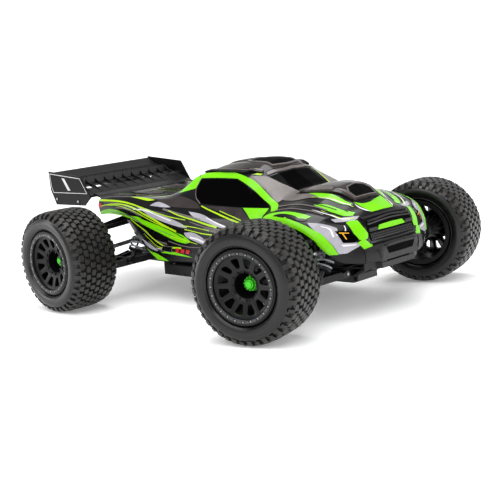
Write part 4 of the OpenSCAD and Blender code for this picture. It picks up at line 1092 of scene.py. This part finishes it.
def rims():
    R = rim_mesh()
    for c in CORNERS:
        o = mesh_obj("wheel_disc_" + c, R.v, R.f, M["wheel"], None, True)
        fix_normals(o)
        sharp(o, 38)
        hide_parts("rim_" + c)
        place(o, c, "wheel_" + c, "wheel_plastic")
        # raised ring with scallops and bolts
        B = Builder()
        prof = [(50.0, 44.6), (50.2, 46.3), (50.8, 46.9), (55.6, 47.1), (56.6, 46.6), (56.8, 45.4)]
        B.add(*revolve([(r * MM, y * MM) for r, y in prof], 120))
        o = B.make("beadlock_ring_" + c, M["wheel_ring"], None)
        place(o, c, "wheel_" + c, "wheel_plastic")
        B = Builder()
        for i in range(24):
            a = 2 * math.pi * (i + 0.5) / 24
            t = 2 * math.pi / 24 / 3.7
            vs = []
            for y, e in ((46.7, 1.0), (48.0, 0.84)):
                for rr, aa in ((53.2 - 2.2 * e, a - t * e), (53.2 + 2.2 * e, a - t * e), (53.2 + 2.2 * e, a + t * e), (53.2 - 2.2 * e, a + t * e)):
                    vs.append((rr * math.cos(aa) * MM, y * MM, rr * math.sin(aa) * MM))
            B.add(vs, [(0, 1, 2, 3), (7, 6, 5, 4), (0, 4, 5, 1), (1, 5, 6, 2), (2, 6, 7, 3), (3, 7, 4, 0)])
        o = B.make("beadlock_pads_" + c, M["ring_pad"], None, 0.0003)
        place(o, c, "wheel_" + c, "wheel_plastic")
        B = Builder()
        for i in range(24):
            a = 2 * math.pi * i / 24
            p, q = ring_y(53.2, 46.6, 48.0, a)
            B.cyl(1.3 * MM, p, q, 6)
        o = B.make("beadlock_bolts_" + c, M["bolt"], None, 0.0002)
        place(o, c, "wheel_" + c, "wheel_plastic")
        # matt black floor and lugs of the hub well, darker than the wheel: painted shade in the well
        B = Builder()
        B.add(*revolve([(r * MM, y * MM) for r, y in [(11.8, 9.9), (14.6, 9.9), (18.3, 11.8), (19.4, 27.5), (20.1, 30.9)]], 72))
        for i in range(6):
            a = 2 * math.pi * (i + 0.5) / 6
            p, q = ring_y(15.0, 9.8, 12.8, a)
            B.cyl(1.7 * MM, p, q, 12)
        o = B.make("hub_well_" + c, M["black_deep"], None)
        place(o, c, "wheel_" + c, "wheel_plastic")
        # green splined wheel nut
        B = Builder()
        B.cyl(12.4 * MM, (0, 0.0090, 0), (0, 0.0112, 0), 48)
        k = 12
        pts = []
        for i in range(k * 4):
            a = 2 * math.pi * i / (k * 4)
            r = 11.3 if i % 4 in (0, 1) else 10.2
            pts.append((r * math.cos(a) * MM, r * math.sin(a) * MM))
        B.prism(pts, "y", 0.0112, 0.0176)
        B.cyl(9.9 * MM, (0, 0.0176, 0), (0, 0.0206, 0), 12, 7.4 * MM)
        B.cyl(6.4 * MM, (0, 0.0204, 0), (0, 0.0220, 0), 6, 5.8 * MM)
        o = B.make("wheel_nut_" + c, M["green_anod"], None, 0.0004)
        place(o, c, "wheel_" + c, "green_alloy")


# ------------------------------------------------------------------ shocks
def shock_frames(c):
    front, s = c[0] == "f", (1 if c[1] == "l" else -1)
    x = (285 if front else -197) + 34
    top = Vector((x, s * 60, 168)) * MM
    d = Vector((0, s * 0.5425, -0.8400)).normalized()
    return top, d


def springs():
    for c in CORNERS:
        top, d = shock_frames(c)
        a = Vector((1, 0, 0))
        b = d.cross(a)
        turns, n, m = 6.5, 22, 8
        r, w = 13.1, 1.75
        z0, z1 = 27.9, 89.9
        N = int(turns * n)
        vs, fs = [], []
        def h(u):
            # closed coils at both ends
            e = 0.10
            if u < e:
                return z0 + w * 0 + (z1 - z0) * u * 0.45
            if u > 1 - e:
                return z1 - (z1 - z0) * (1 - u) * 0.45
            k0 = z0 + (z1 - z0) * e * 0.45
            k1 = z1 - (z1 - z0) * e * 0.45
            return k0 + (k1 - k0) * (u - e) / (1 - 2 * e)
        for i in range(N + 1):
            t = 2 * math.pi * i / n
            z = h(i / N)
            rad = a * math.cos(t) + b * math.sin(t)
            cen = top + d * (z * MM) + rad * (r * MM)
            for j in range(m):
                q = 2 * math.pi * j / m
                vs.append(cen + rad * (w * MM * math.cos(q)) + d * (w * MM * math.sin(q)))
        for i in range(N):
            for j in range(m):
                fs.append((i * m + j, i * m + (j + 1) % m, (i + 1) * m + (j + 1) % m, (i + 1) * m + j))
        fs.append(tuple(range(m))[::-1])
        fs.append(tuple(N * m + j for j in range(m)))
        o = mesh_obj("coil_spring_" + c, vs, fs, M["spring"], None, True)
        fix_normals(o)
        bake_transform(o)
        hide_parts("shock_spring_" + c)
        # cap knurl and collar grip on the shock body
        B = Builder()
        for i in range(20):
            t = 2 * math.pi * i / 20
            rad = a * math.cos(t) + b * math.sin(t)
            p = top + d * 0.0082 + rad * 0.0101
            B.cyl(0.0008, p, p + d * 0.0096, 6)
        for i in range(14):
            t = 2 * math.pi * i / 14
            rad = a * math.cos(t) + b * math.sin(t)
            p = top + d * 0.0222 + rad * 0.0139
            B.cyl(0.0011, p, p + d * 0.0032, 8)
        o = B.make("shock_knurl_" + c, M["green_anod"], "shock_body_" + c)
        # grey cap screw and lower boot
        B = Builder()
        B.cyl(0.0062, top + d * 0.0640, top + d * 0.0625, 24)
        B.cyl(0.0092, top + d * 0.0600, top + d * 0.0632, 32)
        o = B.make("shock_seal_" + c, M["black"], "shock_body_" + c, 0.0003)


tyres()
rims()
springs()


# ------------------------------------------------------------------ rear wing
def wing():
    B = Builder()
    y0, y1 = -0.1313, 0.1313
    mm = lambda pts: [(a * MM, b * MM) for a, b in pts]
    # rear blade, front lip and upright blade
    B.prism(mm([(-391, 240.5), (-380.6, 235.6), (-361, 223.8), (-345, 219.6), (-331, 216.4), (-309, 212.6), (-306, 210.4), (-309, 208.8), (-331, 211.6), (-358, 219), (-378, 230), (-391, 237)]), "y", y0, y1)
    B.prism(mm([(-262, 196), (-270, 201), (-291, 208.4), (-294, 206.6), (-291, 204.6), (-270, 197.5), (-264, 192)]), "y", y0, y1)
    B.prism(mm([(-318, 214.6), (-322, 215.4), (-324, 227.0), (-321, 227.4), (-318.6, 217.0)]), "y", -0.1195, 0.1195)
    B.prism(mm([(-346, 219.4), (-349, 220.2), (-352, 229.0), (-349.6, 229.4), (-346.8, 221.6)]), "y", -0.1195, 0.1195)
    # lower front blade that reaches down to the deck, with its brackets
    B.prism(mm([(-266, 197.6), (-262, 199.6), (-250, 197.8), (-239, 194.2), (-237, 191.6), (-240, 190.4), (-252, 193.4), (-264, 194.6)]), "y", -0.1220, 0.1220)
    for y in (-0.064, 0.060):
        B.prism(mm([(-300, 206), (-286, 205), (-262, 196), (-246, 193), (-243, 184), (-252, 182), (-270, 188), (-292, 200)]), "y", y, y + 0.0036)
    # gussets across the slot
    for i in range(-5, 6):
        y = i * 0.0238
        B.prism(mm([(-352, 229.0), (-352, 218), (-330, 211.6), (-309, 209), (-293, 204.8), (-272, 198.2), (-270, 201.6), (-292, 211.4), (-312, 217.4), (-323, 226.6), (-334, 219.4)]), "y", y - 0.0011, y + 0.0011)
    for s in (-1, 1):
        y = s * 0.0119
        B.box((-0.306, min(y, y + s * 0.030), 0.2065), (-0.293, max(y, y + s * 0.030), 0.2095))
    o = B.make("wing_blades", M["wing"], None, 0.0004)
    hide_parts("rear_wing")
    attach(o, "chassis")
    plate = [(-394, 243), (-285, 234), (-276, 221), (-258, 193), (-280, 176), (-377, 175), (-392, 205)]
    for s, side in ((1, "left"), (-1, "right")):
        B = Builder()
        B.prism(mm(plate), "y", s * 0.1316, s * 0.1345)
        o = B.make("wing_plate_" + side, M["plate_black"], "chassis", 0.0005)
        q = s * 0.1345
        def flat(name, pts, mat, off, holes=None):
            vs = [(a * MM, q + s * off, b * MM) for a, b in pts]
            if holes:
                n = len(pts)
                vs += [(a * MM, q + s * off, b * MM) for a, b in holes]
                fs = [(i, (i + 1) % n, n + (i + 1) % n, n + i) for i in range(n)]
            else:
                fs = [tuple(range(len(pts)))]
            k = mesh_obj(name, vs, fs, mat, None, False)
            if sum(p.normal.y * p.area for p in k.data.polygons) * s < 0:
                k.data.flip_normals()
            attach(k, "chassis")
        field = [(-391, 240), (-287, 231.5), (-276.5, 216), (-266, 199.5), (-382.5, 199), (-388.6, 212)]
        inner = [(-388.6, 237.6), (-288.2, 229.4), (-278.6, 215), (-269.5, 201.3), (-381.2, 200.8), (-386.4, 212)]
        flat("wing_plate_field_" + side, field, M["plate_grey"], 0.00025)
        flat("wing_plate_border_" + side, [(-390.2, 239.2), (-287.4, 230.8), (-277.2, 215.6), (-267.2, 200.1), (-382.2, 199.6), (-387.9, 212)], M["plate_line"], 0.00045, inner)
        flat("wing_plate_bar_" + side, [(-349, 230.5), (-340, 229.8), (-322, 205.5), (-331, 205.2)], M["plate_line"], 0.00055)
        # screws through the plate
        B = Builder()
        for x, z in ((-372, 187), (-300, 184)):
            B.cyl(0.0026, (x * MM, q, z * MM), (x * MM, q + s * 0.0014, z * MM), 12)
        B.make("wing_screws_" + side, M["bolt"], "chassis", 0.0002)
    # ribs and pads on the struts
    B = Builder()
    for s in (-1, 1):
        B.box((-0.350, s * 0.0315 - 0.006, 0.2085), (-0.306, s * 0.0315 + 0.006, 0.2098))
        for x in (-0.344, -0.312):
            B.cyl(0.0022, (x, s * 0.0315, 0.2095), (x, s * 0.0315, 0.2112), 12)
    B.make("wing_pads", M["black"], "chassis", 0.0003)


# ------------------------------------------------------------------ bumper and skid plate
def bumper():
    a = math.radians(-26)
    def up(x, y, h):
        """A point on the sloping plate, x along it from its rear edge, h above its upper face."""
        px, pz = x * math.cos(a) - 0 * math.sin(a), -x * math.sin(a)
        n = Vector((math.sin(a), 0, math.cos(a)))
        return Vector((296 + px, y, 49.8 + pz)) * MM + n * (h * MM)
    B = Builder()
    def rib(p, q, w, h0, h1):
        p, q = Vector(p), Vector(q)
        d = (q - p).normalized()
        nrm = Vector((-d.y, d.x)) * w / 2
        c = [p + nrm, q + nrm, q - nrm, p - nrm]
        vs = [up(k.x, k.y, h0) for k in c] + [up(k.x, k.y, h1) for k in c]
        B.add(vs, [(0, 3, 2, 1), (4, 5, 6, 7), (0, 1, 5, 4), (1, 2, 6, 5), (2, 3, 7, 6), (3, 0, 4, 7)])
    for s in (-1, 1):
        rib((58, 33.0 * s), (101, 45.0 * s), 2.2, 4.8, 9.0)
        rib((60, 2.4 * s), (98, 2.4 * s), 1.6, 4.8, 7.4)
        rib((60, 2.6 * s), (78, 21 * s), 1.6, 4.8, 7.0)
        rib((79, 21 * s), (98, 3.0 * s), 1.6, 4.8, 7.0)
        rib((82, 23 * s), (99, 8.6 * s), 1.6, 4.8, 7.0)
        rib((82, 23 * s), (99, 38 * s), 1.6, 4.8, 7.0)
        rib((34, 3.6 * s), (56, 3.6 * s), 1.6, 4.8, 7.0)
        rib((34, 25 * s), (57, 26.5 * s), 1.6, 4.8, 7.0)
    rib((100, -45), (100, 45), 2.4, 4.8, 8.6)
    rib((58, -32), (58, 32), 2.0, 4.8, 8.0)
    B.make("bumper_ribs", M["bumper"], "chassis", 0.0003)
    B = Builder()
    for s in (-1, 1):
        for x, y in ((30, 14), (30, -14)):
            p = up(x, y * s, 4.9)
            q = up(x, y * s, 6.6)
            B.cyl(0.0030, p, q, 14)
    B.make("bumper_screws", M["bolt"], "chassis", 0.0002)
    # side wings of the bumper under the nose
    B = Builder()
    for s in (-1, 1):
        B.prism([(362 * MM, s * 48 * MM), (378 * MM, s * 48 * MM), (389 * MM, s * 43.8 * MM), (389 * MM, s * 30 * MM), (362 * MM, s * 30 * MM)], "z", 0.0932, 0.0962)
        B.prism([(352 * MM, s * 74 * MM), (374 * MM, s * 71 * MM), (379 * MM, s * 47.5 * MM), (360 * MM, s * 47.5 * MM)], "z", 0.0870, 0.0900)
        B.prism([(372 * MM, s * 71.5 * MM), (374.4 * MM, s * 71 * MM), (380.4 * MM, s * 47 * MM), (378 * MM, s * 47 * MM)], "z", 0.0840, 0.0960)
    B.make("bumper_wings", M["bumper"], "chassis", 0.0005)


# ------------------------------------------------------------------ small hardware on the running gear
def hardware():
    C0 = math.atan(10 / 143)
    for c in CORNERS:
        front, s = c[0] == "f", (1 if c[1] == "l" else -1)
        X = 285 if front else -197
        def arm(z, x, along, h):
            """A point on an arm: x along the truck, along it from the inner pivot, h above its middle."""
            y = 58 + along * math.cos(C0) + h * math.sin(C0)
            return Vector(((X + x), s * y, z - along * math.sin(C0) + h * math.cos(C0))) * MM
        B = Builder()
        # edge ribs and cross webs of the lower arm
        def web(z, p, q, w, h0, h1):
            p, q = Vector(p), Vector(q)
            d = (q - p).normalized()
            nrm = Vector((-d.y, d.x)) * w / 2
            k = [p + nrm, q + nrm, q - nrm, p - nrm]
            vs = [arm(z, a.x, a.y, h0) for a in k] + [arm(z, a.x, a.y, h1) for a in k]
            B.add(vs, [(0, 3, 2, 1), (4, 5, 6, 7), (0, 1, 5, 4), (1, 2, 6, 5), (2, 3, 7, 6), (3, 0, 4, 7)])
        for e in (-1, 1):
            web(72, (e * 40, 12), (e * 12.4, 116), 2.4, 3.6, 6.4)
            web(72, (e * 27, 16), (e * 18.4, 54), 1.8, 3.6, 5.6)
            web(72, (e * 14, 58), (e * 6.5, 104), 1.6, 3.6, 5.6)
        k = [(-38, 14), (38, 14), (11.5, 114), (-11.5, 114)]
        vs = [arm(72, x, a, -0.9) for x, a in k] + [arm(72, x, a, 0.9) for x, a in k]
        B.add(vs, [(0, 3, 2, 1), (4, 5, 6, 7), (0, 1, 5, 4), (1, 2, 6, 5), (2, 3, 7, 6), (3, 0, 4, 7)])
        web(72, (-30, 17.5), (30, 17.5), 2.0, 3.6, 5.6)
        web(72, (-19, 55.5), (19, 55.5), 2.0, 3.6, 5.6)
        o = B.make("lower_arm_ribs_" + c, M["black"], "lower_arm_" + c, 0.0003)
        B = Builder()
        web(146, (-36, 12), (-11.4, 108), 2.0, 3.2, 5.4)
        web(146, (11, 12), (8.6, 108), 2.0, 3.2, 5.4)
        web(146, (-26, 14), (8, 14), 1.8, 3.2, 5.0)
        o = B.make("upper_arm_ribs_" + c, M["black"], "upper_arm_" + c, 0.0003)
        # hinge pin heads and screws
        B = Builder()
        for x in (-43.4, 42.2):
            p = arm(72, x, 0, 0)
            B.cyl(0.0030, p, p + Vector((0.0012, 0, 0)), 6)
        p = arm(72, 34 + 6.9, 64.0, 0.6)
        o = B.make("lower_pin_heads_" + c, M["bolt"], "chassis", 0.0002)
        B = Builder()
        top, d = shock_frames(c)
        B.cyl(0.0036, top + Vector((0.0068, 0, 0)), top + Vector((0.0088, 0, 0)), 6)
        o = B.make("shock_bolt_" + c, M["bolt"], "chassis", 0.0002)
        body = ("steering_block_" if front else "axle_carrier_") + c
        # bolts on the uprights
        B = Builder()
        w = WHEEL_AT[c]
        mw = wheel_matrix(c)
        for a in range(4):
            t = math.pi / 4 + a * math.pi / 2
            p = mw @ Vector((0.0125 * math.cos(t), -0.0212, 0.0125 * math.sin(t)))
            q = mw @ Vector((0.0125 * math.cos(t), -0.0200, 0.0125 * math.sin(t)))
            B.cyl(0.0016, p, q, 10)
        o = B.make("upright_bolts_" + c, M["bolt"], body, 0.0)
    # screw heads on the towers and chassis sides
    B = Builder()
    for X in (285, -197):
        for y, z in ((-54, 168.5), (54, 168.5), (-38, 140), (38, 140), (-12, 172), (12, 172)):
            B.cyl(0.0026, ((X + 19.6) * MM, y * MM, z * MM), ((X + 21.4) * MM, y * MM, z * MM), 10)
    for s in (-1, 1):
        for x in (-36, 18, 72, 126):
            B.cyl(0.0028, (x * MM, s * 0.1220, 0.0740), (x * MM, s * 0.1220, 0.0754), 12)
    B.make("chassis_screws", M["bolt"], "chassis", 0.0002)
    # tread pattern on the side guards and ribs along the tub
    B = Builder()
    for s in (-1, 1):
        for i in range(13):
            x = (-46 + i * 14.5) * MM
            B.box((x, min(s * 0.1175, s * 0.1300), 0.0738), (x + 0.0060, max(s * 0.1175, s * 0.1300), 0.0750))
        for i in range(15):
            x = (-68 + i * 15) * MM
            B.box((x, min(s * 0.1137, s * 0.1150), 0.052), (x + 0.0025, max(s * 0.1137, s * 0.1150), 0.0595))
    B.make("side_guard_treads", M["black"], "chassis", 0.0003)


wing()
bumper()
hardware()

# ------------------------------------------------------------------ finishes of the CAD parts that stay
FINISH = {"tyre_rubber": "tread", "wheel_plastic": "wheel", "green_alloy": "green_anod", "black_plastic": "black", "steel": "steel",
          "spring_steel": "spring", "grey_alloy": "grey_alloy", "bumper_plastic": "bumper", "wing_plastic": "wing", "body_paint": "green",
          "motor_can": "motor", "battery_wrap": "battery", "esc_case": "esc"}
SLOT = {s["node"]: s["material_slot"] for s in frame["record"]["subparts"]}
for n, o in NODES.items():
    mat = M[FINISH[SLOT[n]]]
    if n.startswith("stub_axle"):
        mat = M["steel"]
    o.data.materials.clear()
    o.data.materials.append(mat)
    if not o.hide_render:
        bv = o.modifiers.new("soft edges", "BEVEL")
        bv.width = 0.0004
        bv.segments = 1
        bv.limit_method = "ANGLE"
        bv.angle_limit = math.radians(40)
